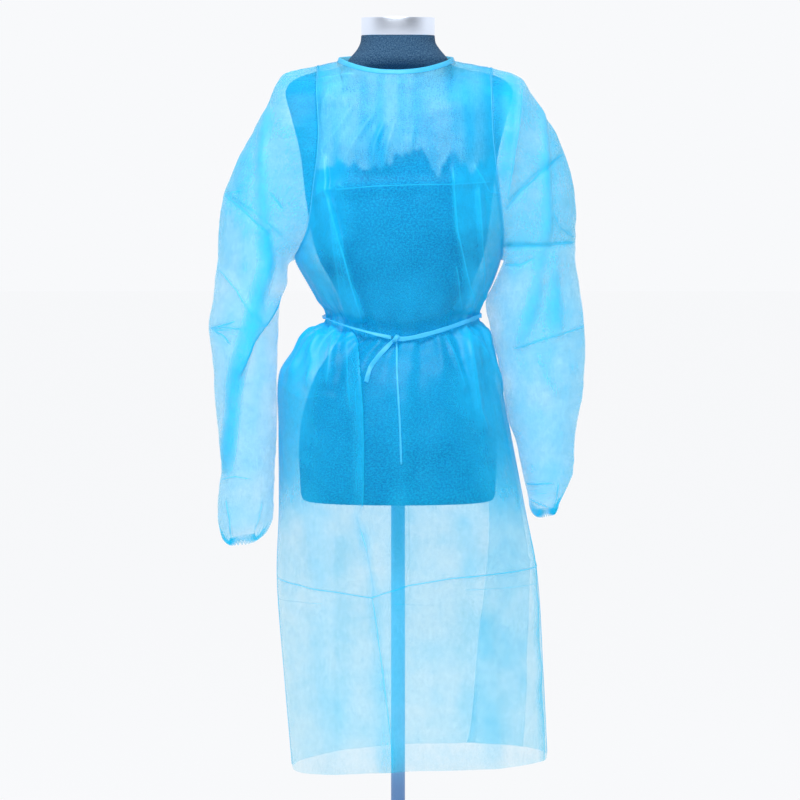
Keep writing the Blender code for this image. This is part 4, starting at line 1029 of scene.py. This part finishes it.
def strip(name, spine, ways, outs, widths, thicknesses, node=None):
    """A closed strip: ways run across it and outs through it, one each for a point of its spine."""
    angle = np.arange(SECTION_SIDES) * 2 * math.pi / SECTION_SIDES
    c, s = superellipse(angle, SECTION_POWER)
    rows = []
    for point, way, out, width, thickness in zip(spine, ways, outs, widths, thicknesses):
        across = np.outer(c * width / 2, way)
        through = np.outer(s * thickness / 2, out)
        rows.append(np.asarray(point) + across + through)
    piece = loft(name, np.array(rows), closed=True)
    close_ends(piece)
    piece.data.shade_smooth()
    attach(piece, "root")
    if node:
        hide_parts(node)
    return piece


def unit(vector):
    """A vector of length 1 that points the same way."""
    vector = np.asarray(vector, dtype=float)
    return vector / np.linalg.norm(vector)


print("points round a strip:", SECTION_SIDES)

# %% Bind the neckline
BINDING_WIDTH = 0.0085
BINDING_THICKNESS = 0.0020
BINDING_LEAN = 0.35
BINDING_ABOVE_EDGE = 0.42
NECKLINE_STEP = 0.003


def neck_edge(rows):
    """The part of a piece's top edge that lies on the neckline."""
    edge = rows[0]
    return edge[np.abs(edge[:, 0] - NECK_X) < NECK_HALF_WIDTH + SEAM_GAP]


neckline = np.concatenate(
    [neck_edge(under_rows)[::-1], neck_edge(front_rows), neck_edge(over_rows)[::-1]]
)
kept = [neckline[0]]
for point in neckline[1:]:
    if np.linalg.norm(point - kept[-1]) > NECKLINE_STEP:
        kept.append(point)
neckline = np.array(kept)
outward = neckline - [NECK_X, SHOULDER_Y, 0]
outward[:, 2] = 0
outward /= np.linalg.norm(outward, axis=1)[:, None]
neck_ways = np.array([unit([0, 0, 1] - out * BINDING_LEAN) for out in outward])
neck_outs = np.array([unit(out + [0, 0, BINDING_LEAN]) for out in outward])
neck_spine = neckline + neck_ways * BINDING_WIDTH * BINDING_ABOVE_EDGE
count = len(neck_spine)
strip(
    "binding_of_neck", neck_spine, neck_ways, neck_outs,
    [BINDING_WIDTH] * count, [BINDING_THICKNESS] * count, "neck_binding",
)
sewn = stitches("stitches_of_binding", neckline, neck_outs, 0.0, BINDING_THICKNESS / 2 + 0.0002)
print("stitches in the binding:", sewn)
print("neckline round:", round(path_length(neckline), 3))

# %% [markdown]
# ## The waist tie, its knot and its ends
# The tie is pulled tight, so it spans the hollows between the gathers and touches their crests.
# The convex outline of the cloth at the waist is that path. On the wearer's left it is one flat
# strip, and on the wearer's right it is twisted half round. Its knot and ends come after it.

# %% Tie the waist
TIE_HEIGHT = 0.0092
TIE_THICKNESS = 0.0013
TIE_GAP = 0.0010
KNOT_X = -0.0034
TWISTS = 1.0
HULL_STEP = 0.0005
TIE_STEP = 0.004


def tie_level(x, y):
    """The height of the tie's middle over a point (x, y)."""
    upper, lower = (BODY[i] for i in WAIST_SECTIONS)
    share = (2 * x - upper.x_left - upper.x_right) / (upper.x_right - upper.x_left)
    middle = (upper.z_front + lower.z_front) / 2 if y < 0 else (upper.z_back + lower.z_back) / 2
    side = (upper.z_left + lower.z_left) / 2 if share < 0 else (upper.z_right + lower.z_right) / 2
    return middle + (side - middle) * min(1.0, abs(share)) ** DIP_POWER


waist_row = sum(BODY_STEPS[:waist_key])
band = range(waist_row - 1, waist_row + FINER)
ring = [
    Vector(rows[i, j, :2])
    for rows in (front_rows, under_rows, over_rows) for i in band for j in range(rows.shape[1])
]
hull = [ring[i] for i in convex_hull_2d(ring)]
hull = np.array([[p.x, p.y] for i, p in enumerate(hull) if (p - hull[i - 1]).length > HULL_STEP])
closed_hull = np.concatenate([hull, hull[:1]])
lengths = np.concatenate([[0], np.cumsum(np.linalg.norm(np.diff(closed_hull, axis=0), axis=1))])
places = np.arange(0, lengths[-1], TIE_STEP)
loop = np.stack([np.interp(places, lengths, closed_hull[:, k]) for k in range(2)], axis=-1)
for _ in range(2):
    loop = (np.roll(loop, 1, axis=0) + 2 * loop + np.roll(loop, -1, axis=0)) / 4
tangent = np.roll(loop, -1, axis=0) - np.roll(loop, 1, axis=0)
tangent /= np.linalg.norm(tangent, axis=1)[:, None]
out2 = np.stack([tangent[:, 1], -tangent[:, 0]], axis=-1)
if np.sum(out2 * loop) < 0:
    out2 = -out2
loop = loop + out2 * (TIE_GAP + TIE_THICKNESS / 2)
start = int(np.argmin(np.where(loop[:, 1] < 0, np.abs(loop[:, 0] - KNOT_X), FAR)))
order = np.roll(np.arange(len(loop)), -start)
if loop[order[3], 0] < loop[order[0], 0]:
    order = order[::-1]
loop, out2 = loop[order], out2[order]
spine = np.array([[x, y, tie_level(x, y)] for x, y in loop])
outs = np.concatenate([out2, np.zeros((len(loop), 1))], axis=1)
twisted = (spine[:, 0] < KNOT_X - 0.006) & (spine[:, 1] < 0.02)
ways, faces, widths, thick = [], [], [], []
twist_start = int(np.argmax(twisted))
for i, (point, out) in enumerate(zip(spine, outs)):
    angle = 0.0
    if twisted[i]:
        angle = TWISTS * math.pi * (i - twist_start) / (len(spine) - twist_start)
    up = np.array([0.0, 0.0, 1.0])
    ways.append(up * math.cos(angle) + out * math.sin(angle))
    faces.append(out * math.cos(angle) - up * math.sin(angle))
    narrow = 1 - 0.45 * abs(math.sin(angle))
    widths.append(TIE_HEIGHT * (0.80 + 0.06 * math.sin(i * 0.7)) * narrow)
    thick.append(TIE_THICKNESS * (1 + 0.6 * abs(math.sin(angle))))
    spine[i] = point + out * (TIE_HEIGHT / 4 * abs(math.sin(angle)))
strip("tie_of_waist", spine, ways, faces, widths, thick, "waist_tie")
knot_y = float(spine[0, 1])
knot_z = tie_level(KNOT_X, -0.1)
print("waist tie round:", round(path_length(spine), 3))

# %% [markdown]
# ## Loose ends that lie on the cloth
# A loose end of tape falls straight down and rests on whatever cloth is under it. Its path is drawn
# in front view, and a ray from the front, or from behind at the neck, finds the cloth's surface.

# %% Knots and loose ends
TAIL_THICKNESS = 0.0012
TAIL_GAP = 0.0008
TAIL_STEPS = 14
RAY_START = 0.5
KNOT_STEPS = 24


def lying_strip(name, tree, facing, path, start_y, width, fold, node):
    """A strip along path (x, z) that lies on the cloth and sways by fold.

    start_y is how far its start lies from the body's middle, towards facing.
    """
    keys = np.array([[x, 0.0, z] for x, z in path])
    pieces = [TAIL_STEPS] * (len(path) - 1)
    points = smooth_rows(keys[:, None], pieces)[:, 0]
    spine, ways, outs, widths = [], [], [], []
    for i, point in enumerate(points):
        along = points[min(i + 1, len(points) - 1)] - points[max(i - 1, 0)]
        way = unit(np.cross(along, [0, 1, 0]))
        reach = []
        for share in (-0.5, 0.0, 0.5):
            probe = point + way * width * share
            start = Vector((probe[0], facing * RAY_START, probe[2]))
            hit = tree.ray_cast(start, Vector((0, -facing, 0)))[0]
            if hit:
                reach.append(facing * hit.y + CLOTH / 2 + TAIL_GAP + TAIL_THICKNESS / 2)
        eased = smooth_step(i / 5)
        y = start_y * (1 - eased) + (max(reach) if reach else start_y) * eased
        turn = fold * math.sin(i * 0.42)
        spine.append([point[0], facing * y, point[2]])
        ways.append(way * math.cos(turn) + np.array([0, facing, 0]) * math.sin(turn))
        outs.append(np.cross(ways[-1], unit(along)))
        widths.append(width * (0.55 + 0.45 * min(1.0, i / 4)))
    spine = np.array(spine)
    lowest = np.minimum.accumulate(facing * spine[::-1, 1])[::-1]
    spine[:, 1] = (spine[:, 1] + facing * lowest) / 2
    return strip(name, spine, ways, outs, widths, [TAIL_THICKNESS] * len(widths), node)


def knot(name, centre, size, node):
    """A knot: a strip wrapped once round the tape in a slanting ring."""
    centre, size = np.array(centre), np.array(size)
    angle = np.arange(SECTION_SIDES) * 2 * math.pi / SECTION_SIDES
    c, s = superellipse(angle, SECTION_POWER)
    across = np.outer(c, [1.0, 0.0, -0.35]) * size[0] * 0.26
    rows = []
    for step in np.linspace(0, 2 * math.pi, KNOT_STEPS + 1)[:-1]:
        round_it = np.array([math.sin(step), math.cos(step), math.sin(step)])
        out = unit(round_it * [0.3, 1.0, 1.0])
        through = np.outer(s, out) * size[1] * 0.17
        rows.append(centre + round_it * size * [0.22, 0.34, 0.36] + across + through)
    rows.append(rows[0])
    made = loft(name, np.array(rows), closed=True)
    edit_all_of(made)
    bpy.ops.mesh.remove_doubles(threshold=0.00001)
    face_outwards()
    made.data.shade_smooth()
    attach(made, "root")
    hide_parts(node)
    return made


print("steps between two points of a loose end:", TAIL_STEPS)

# %% Tie the waist and the neck
front_tree = tree_of(front_rows)
over_tree = tree_of(over_rows)
knot(
    "knot_of_waist", [KNOT_X, knot_y - 0.0015, knot_z], [0.013, 0.008, 0.012], "waist_knot"
)
lying_strip(
    "end_of_tie_long", front_tree, -1,
    [(KNOT_X + 0.001, knot_z - 0.003), (KNOT_X + 0.002, knot_z - 0.060),
     (KNOT_X + 0.006, knot_z - 0.130), (KNOT_X + 0.009, knot_z - 0.208)],
    -knot_y + 0.001, 0.0034, 0.4, "waist_tail_long",
)
lying_strip(
    "end_of_tie_short", front_tree, -1,
    [(KNOT_X - 0.003, knot_z - 0.002), (KNOT_X - 0.041, knot_z - 0.045),
     (KNOT_X - 0.050, knot_z - 0.072)],
    -knot_y + 0.001, 0.0078, 0.3, "waist_tail_short",
)
NECK_KNOT_X = 0.012
behind = neck_spine[neck_spine[:, 1] > 0.03]
nearest = behind[np.argmin(np.abs(behind[:, 0] - NECK_KNOT_X))]
neck_knot_y = nearest[1] + 0.0052
knot(
    "knot_of_neck", [NECK_KNOT_X, neck_knot_y, nearest[2]], [0.014, 0.009, 0.013], "neck_knot"
)
for name, side, drift, node in (
    ("end_of_neck_right", -1, 0.012, "neck_tail_right"),
    ("end_of_neck_left", 1, 0.018, "neck_tail_left"),
):
    lying_strip(
        name, over_tree, 1,
        [(NECK_KNOT_X + side * 0.003, nearest[2] - 0.004),
         (NECK_KNOT_X + side * (0.005 + drift * 0.6), nearest[2] - 0.070),
         (NECK_KNOT_X + side * (0.005 + drift), nearest[2] - 0.166)],
        neck_knot_y, 0.0095, 0.2, node,
    )
print("knot at the waist:", round(KNOT_X, 4), round(knot_y, 4), round(knot_z, 4))

# %% [markdown]
# ## Shader maths
# A material is a tree of nodes, and arithmetic on its values is easiest to read as an expression.
# The class below wraps one socket and makes Math nodes for + - * and powers. Every other node
# comes from one method, which takes its type, its settings and what goes into its sockets.

# %% A socket with arithmetic, and a material in the making
class Wire:
    """One output socket of a finish's tree."""

    def __init__(self, finish, socket):
        self.finish = finish
        self.socket = socket

    def maths(self, operation, first, second):
        return self.finish.node("ShaderNodeMath", {"operation": operation}, {0: first, 1: second})

    def __add__(self, other):
        return self.maths("ADD", self, other)

    def __sub__(self, other):
        return self.maths("SUBTRACT", self, other)

    def __rsub__(self, other):
        return self.maths("SUBTRACT", other, self)

    def __mul__(self, other):
        return self.maths("MULTIPLY", self, other)

    def __pow__(self, other):
        return self.maths("POWER", self, other)

    def __rpow__(self, other):
        return self.maths("POWER", other, self)

    __radd__ = __add__
    __rmul__ = __mul__


class Finish:
    """A material that is being made."""

    def __init__(self, name, tree=None):
        self.tree = tree
        if tree is None:
            self.material = bpy.data.materials.new(name)
            self.material.use_nodes = True
            self.tree = self.material.node_tree
            self.tree.nodes.clear()

    def node(self, kind, settings, sockets, output=0):
        """A new node of that kind, as a wire from one of its outputs."""
        made = self.tree.nodes.new(kind)
        for name, value in settings.items():
            if name == "stops":
                ramp = made.color_ramp.elements
                while len(ramp) < len(value):
                    ramp.new(0.5)
                for element, (position, colour) in zip(ramp, value):
                    element.position = position
                    element.color = colour
            else:
                setattr(made, name, value)
        for name, value in sockets.items():
            if isinstance(value, Wire):
                self.tree.links.new(value.socket, made.inputs[name])
            else:
                made.inputs[name].default_value = value
        return Wire(self, made.outputs[output])

    def place(self, output="Object"):
        """The place on the piece, in its own coordinates."""
        return self.node("ShaderNodeTexCoord", {}, {}, output)

    def mark(self, name):
        """A value that the mesh was marked with."""
        return self.node("ShaderNodeAttribute", {"attribute_name": name}, {}, "Fac")

    def lay(self):
        """The lengths along and down the cloth."""
        return self.node("ShaderNodeUVMap", {"uv_map": "lay"}, {}, "UV")

    def stretched(self, vector, scale):
        return self.node("ShaderNodeMapping", {}, {"Vector": vector, "Scale": scale}, "Vector")

    def clouds(self, vector, scale, detail=3.0, roughness=0.55):
        sockets = {"Vector": vector, "Scale": scale, "Detail": detail, "Roughness": roughness}
        return self.node("ShaderNodeTexNoise", {}, sockets, "Fac")

    def at_least(self, value, low):
        return self.node("ShaderNodeMath", {"operation": "MAXIMUM"}, {0: value, 1: low}, "Value")

    def ramp(self, value, *stops):
        coloured = [(position, (*colour, 1.0)) for position, colour in stops]
        return self.node("ShaderNodeValToRGB", {"stops": coloured}, {"Fac": value}, "Color")

    def height_share(self, reach):
        """0 below the lower height of reach and 1 above the upper one."""
        z = self.node("ShaderNodeSeparateXYZ", {}, {"Vector": self.place()}, "Z")
        limits = {"Value": z, "From Min": reach[0], "From Max": reach[1]}
        eased = {"interpolation_type": "SMOOTHSTEP"}
        return self.node("ShaderNodeMapRange", eased, limits, "Result")

    def mixed(self, share, first, second):
        """The first colour where share is 0 and the second where it is 1."""
        sockets = {0: share, 6: first, 7: second}
        return self.node("ShaderNodeMix", {"data_type": "RGBA"}, sockets, 2)

    def surface(self, values):
        return self.node("ShaderNodeBsdfPrincipled", {}, values, "BSDF")

    def bump(self, height, strength, distance):
        sockets = {"Height": height, "Strength": strength, "Distance": distance}
        return self.node("ShaderNodeBump", {}, sockets, "Normal")

    def finish(self, shader):
        """The material, with the shader as its surface."""
        out = self.tree.nodes.new("ShaderNodeOutputMaterial")
        self.tree.links.new(shader.socket, out.inputs["Surface"])
        return self.material


# %% [markdown]
# ## The non-woven cloth
# Non-woven cloth is a web of fine fibres, pressed together. One layer lets about three quarters of
# the light through, and fold after fold makes it bluer. So the mix between clear and cloth is not a
# fixed number: it comes from how many layers lie at a point, which the folds have marked on the
# mesh, and from how unevenly the fibres lie, which is noise at four sizes.

# %% Cloth, and the same cloth folded into tape
CLEAR_PER_LAYER = 0.73
FACES_PER_LAYER = 2
LINE_WIDTH = 0.0012
CAUGHT_LIGHT = (0.24, 0.72, 1.0)


def non_woven(name, reflected, passed, folded_layers=None):
    """Cloth that reflects one colour and passes another, with one number of layers where folded."""
    finish = Finish(name)
    place = finish.place()
    lay = finish.lay()
    web = finish.clouds(place, 13.0, 5.0, 0.6)
    streaks = finish.clouds(finish.stretched(lay, (240.0, 60.0, 1.0)), 1.0, 3.0, 0.6)
    flecks = finish.clouds(place, 330.0, 3.0, 0.75)
    fibres = finish.clouds(place, 900.0, 2.0, 0.7)
    height = fibres * 0.6 + flecks * 0.3 + streaks * 0.3
    layers = finish.mark("cloth_layers") if folded_layers is None else folded_layers
    patches = finish.at_least(web * 1.9 + 0.05, 0.25)
    fine = (flecks * 0.5 + 0.75) * (fibres * 0.8 + 0.6) * (streaks * 0.5 + 0.75)
    density = patches * fine * layers
    if folded_layers is None:
        down, across = (
            finish.mark(way + "_near")
            * (math.e ** (0 - (finish.mark(way + "_side") * (1 / LINE_WIDTH)) ** 2.0))
            for way in ("line", "crease")
        )
        line = down + across
        density = density + line * 3.0
        height = height + line * 1.6
    cover = 1 - CLEAR_PER_LAYER ** (density * (1 / FACES_PER_LAYER))
    # Painted highlight: where the mesh is marked, in streaks and flecks, the base colour is mixed
    # towards the pale CAUGHT_LIGHT, standing in for the high light's haze on the upper chest
    painted_highlight = finish.mark("cloth_bloom") * (flecks * 1.1 + streaks * 1.3 - 0.2)
    normal = finish.bump(height, 0.30, 0.0009)
    fibre = finish.surface({
        "Base Color": finish.mixed(painted_highlight, (*reflected, 1.0), (*CAUGHT_LIGHT, 1.0)),
        "Roughness": 0.48,
        "Specular IOR Level": 0.6,
        "Sheen Weight": 0.06,
        "Sheen Roughness": 0.4,
        "Normal": normal,
    })
    glow = finish.node(
        "ShaderNodeBsdfTranslucent", {}, {"Color": (*passed, 1.0), "Normal": normal}, "BSDF"
    )
    clear = finish.node("ShaderNodeBsdfTransparent", {}, {"Color": (1.0, 1.0, 1.0, 1.0)}, "BSDF")
    cloth = finish.node("ShaderNodeMixShader", {}, {0: 0.35, 1: fibre, 2: glow}, "Shader")
    mixed = finish.node("ShaderNodeMixShader", {}, {0: cover, 1: clear, 2: cloth}, "Shader")
    return finish.finish(mixed)


cloth_finish = non_woven("non_woven_cloth", (0.0, 0.55, 0.98), (0.0, 1.0, 1.0))
tape_finish = non_woven("folded_cloth_tape", (0.09, 0.64, 0.98), (0.05, 0.85, 1.0), 8.0)

# %% [markdown]
# ## The woven cover, the cap and the stand
# The form's cover is a plain weave of dark blue yarns, some bluer and some greyer. Two waves that
# cross, laid along the piece's own lengths, give the yarns, and noise gives each its shade. The cap
# is brushed round and round, so its noise is drawn out along the ring. The stand is satin paint.
# Below the neckline the cover, and above the hem the stand, are painted a paler blue: painted light
# from the blue cloth that hangs round them.

# %% Weave, brushed metal and satin paint
NECKLINE_Z = (1.445, 1.475)


def woven_cover():
    """Woven cover, painted a brighter blue under the gown, standing in for the cloth's blue light
    on it.
    """
    finish = Finish("woven_form_cover")
    lay = finish.lay()
    across = finish.node(
        "ShaderNodeTexWave", {"wave_type": "BANDS", "bands_direction": "X"},
        {"Vector": lay, "Scale": 210.0, "Distortion": 0.6, "Detail": 2.0}, "Fac",
    )
    down = finish.node(
        "ShaderNodeTexWave", {"wave_type": "BANDS", "bands_direction": "Y"},
        {"Vector": lay, "Scale": 210.0, "Distortion": 0.6, "Detail": 2.0}, "Fac",
    )
    yarns = finish.clouds(finish.stretched(lay, (240.0, 420.0, 1.0)), 1.0, 3.0, 0.7)
    flecks = finish.clouds(finish.stretched(lay, (420.0, 260.0, 1.0)), 1.0, 2.0, 0.7)
    weave = across * down
    shade = yarns * 1.0 + flecks * 0.9 + weave * 0.25 - 0.5
    bare = finish.ramp(shade, (0.30, (0.006, 0.032, 0.080)), (0.52, (0.026, 0.078, 0.158)),
                       (0.74, (0.075, 0.155, 0.245)))
    # Painted light: under the gown the yarns are given a brighter blue, standing in for the light
    # the blue cloth throws on the cover
    tone_with_painted_light = finish.ramp(shade, (0.38, (0.000, 0.13, 0.37)), (0.52, (0.001, 0.23, 0.50)),
                          (0.66, (0.002, 0.34, 0.64)))
    above = finish.height_share(NECKLINE_Z)
    return finish.finish(finish.surface({
        "Base Color": finish.mixed(above, tone_with_painted_light, bare),
        "Roughness": 0.85,
        "Specular IOR Level": 0.15,
        "Normal": finish.bump(weave + yarns * 0.5, 0.6, 0.0006),
    }))


def brushed_metal():
    """Pale metal with grooves round the cap."""
    finish = Finish("brushed_cap_metal")
    place = finish.place()
    grain = finish.clouds(finish.stretched(place, (14.0, 14.0, 1500.0)), 1.0, 3.0, 0.6)
    return finish.finish(finish.surface({
        "Base Color": (0.80, 0.87, 1.0, 1.0),
        "Metallic": 1.0,
        "Roughness": grain * 0.16 + 0.24,
        "Normal": finish.bump(grain, 0.25, 0.0004),
    }))


HEM_REACH_Z = (0.24, 0.34)


def satin_paint():
    """Satin paint, painted paler within the skirt, standing in for the skirt's blue light on it."""
    finish = Finish("satin_stand_paint")
    place = finish.place()
    grain = finish.clouds(place, 160.0, 3.0, 0.6)
    worn = finish.clouds(place, 9.0, 4.0, 0.6)
    bare = finish.ramp(worn, (0.3, (0.115, 0.235, 0.470)), (0.7, (0.150, 0.290, 0.560)))
    # Painted light: inside the skirt the paint is given a paler blue, standing in for the light the
    # blue cloth throws on the stand
    tone_with_painted_light = finish.ramp(worn, (0.3, (0.18, 0.55, 0.86)), (0.7, (0.25, 0.66, 0.98)))
    within = finish.height_share(HEM_REACH_Z)
    return finish.finish(finish.surface({
        "Base Color": finish.mixed(within, bare, tone_with_painted_light),
        "Metallic": 0.35,
        "Roughness": worn * 0.14 + 0.30,
        "Normal": finish.bump(grain, 0.15, 0.0003),
    }))


print("the cover turns bluer below, in metres:", NECKLINE_Z)

# %% Give each piece its finish
finishes = {
    "gown_": cloth_finish,
    "binding_": tape_finish,
    "tie_": tape_finish,
    "knot_": tape_finish,
    "end_": tape_finish,
    "seam_": tape_finish,
    "stitches_": tape_finish,
    "form_": woven_cover(),
    "cap_": brushed_metal(),
    "base_": satin_paint(),
}
finishes["collar_"] = finishes["pole_"] = finishes["base_"]
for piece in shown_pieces():
    start = piece.name.split("_")[0] + "_"
    if start in finishes:
        piece.data.materials.clear()
        piece.data.materials.append(finishes[start])
print("finishes:", sorted({m.name for m in finishes.values()}))

# %% [markdown]
# ## The sheets
# The area of each cloth piece is worked out from its rows and printed. The cloth bends and
# gathers, but it doesn't stretch.

def cloth_area(rows, closed=False):
    """The area of a lofted surface."""
    a, b, c, d = corners_of(wrap(rows, closed))
    crosses = np.cross(c - a, d - b)
    return float(np.linalg.norm(crosses, axis=-1).sum() / 2)


for name, rows, closed in (
    ("front", front_rows, False), ("under", under_rows, False), ("over", over_rows, False),
    ("right sleeve", right_rows, True), ("left sleeve", left_rows, True),
):
    print("area of", name, round(cloth_area(rows, closed), 3))

# %% [markdown]
# ## Studio
# The photograph has a white ground and soft light from above and in front. The floor is pale and
# plain, and a large soft light stands high in front. The world looks white to the camera, and it
# lights the cloth mostly from behind, so that what faces the camera stays free of haze.

# %% Floor
GROUND = (0.939, 0.948, 0.965)
scene = bpy.context.scene
bpy.ops.object.select_all(action="DESELECT")
bpy.ops.mesh.primitive_plane_add(size=60, location=(0, 0, 0))
floor = bpy.context.object
floor.name = floor.data.name = "floor"
ground = Finish("pale_floor")
floor.data.materials.append(ground.finish(ground.surface({
    "Base Color": (0.06, 0.06, 0.06, 1.0),
    "Roughness": 1.0,
    "Specular IOR Level": 0.0,
    "Emission Color": (*GROUND, 1.0),
    "Emission Strength": 0.94,
})))
print("floor:", floor.name)

# %% World and light
world = bpy.data.worlds.new("white_studio")
world.use_nodes = True
sky = world.node_tree.nodes["Background"]
sky.inputs["Color"].default_value = (*GROUND, 1.0)
studio = Finish("white_studio", world.node_tree)
way = studio.node("ShaderNodeSeparateXYZ", {}, {"Vector": studio.place("Generated")}, "Y")
lamp_room = studio.node(
    "ShaderNodeMapRange", {"interpolation_type": "SMOOTHSTEP"},
    {"Value": way, "From Min": -0.95, "From Max": 0.25, "To Min": 0.08, "To Max": 1.05}, "Result",
)
seen = studio.node("ShaderNodeLightPath", {}, {}, "Is Camera Ray")
strength = seen * 1.0 + (1 - seen) * lamp_room
studio.tree.links.new(strength.socket, sky.inputs["Strength"])
scene.world = world


def soft_light(name, place, aim, size, power):
    light = bpy.data.lights.new(name, "AREA")
    light.shape = "RECTANGLE"
    light.size, light.size_y = size
    light.energy = power
    made = bpy.data.objects.new(name, light)
    scene.collection.objects.link(made)
    made.location = place
    made.rotation_euler = (Vector(aim) - Vector(place)).to_track_quat("-Z", "Y").to_euler()
    return made


soft_light("high_front_light", (-0.3, -2.3, 3.4), (0, 0, 1.15), (2.6, 1.1), 142.0)

# %% Camera
CAMERA_PLACE = (0.0034, -7.5, 1.37)
CAMERA_AIM = (0.0034, 0.0, 0.9106)
camera = bpy.data.objects.new("camera", bpy.data.cameras.new("camera"))
scene.collection.objects.link(camera)
camera.data.lens = 198.5
camera.data.sensor_width = 36.0
camera.location = CAMERA_PLACE
aim = Vector(CAMERA_AIM)
camera.rotation_euler = (aim - camera.location).to_track_quat("-Z", "Y").to_euler()
camera.data.clip_end = 100.0
scene.camera = camera
scene.view_settings.view_transform = "Standard"
scene.cycles.transparent_max_bounces = 40
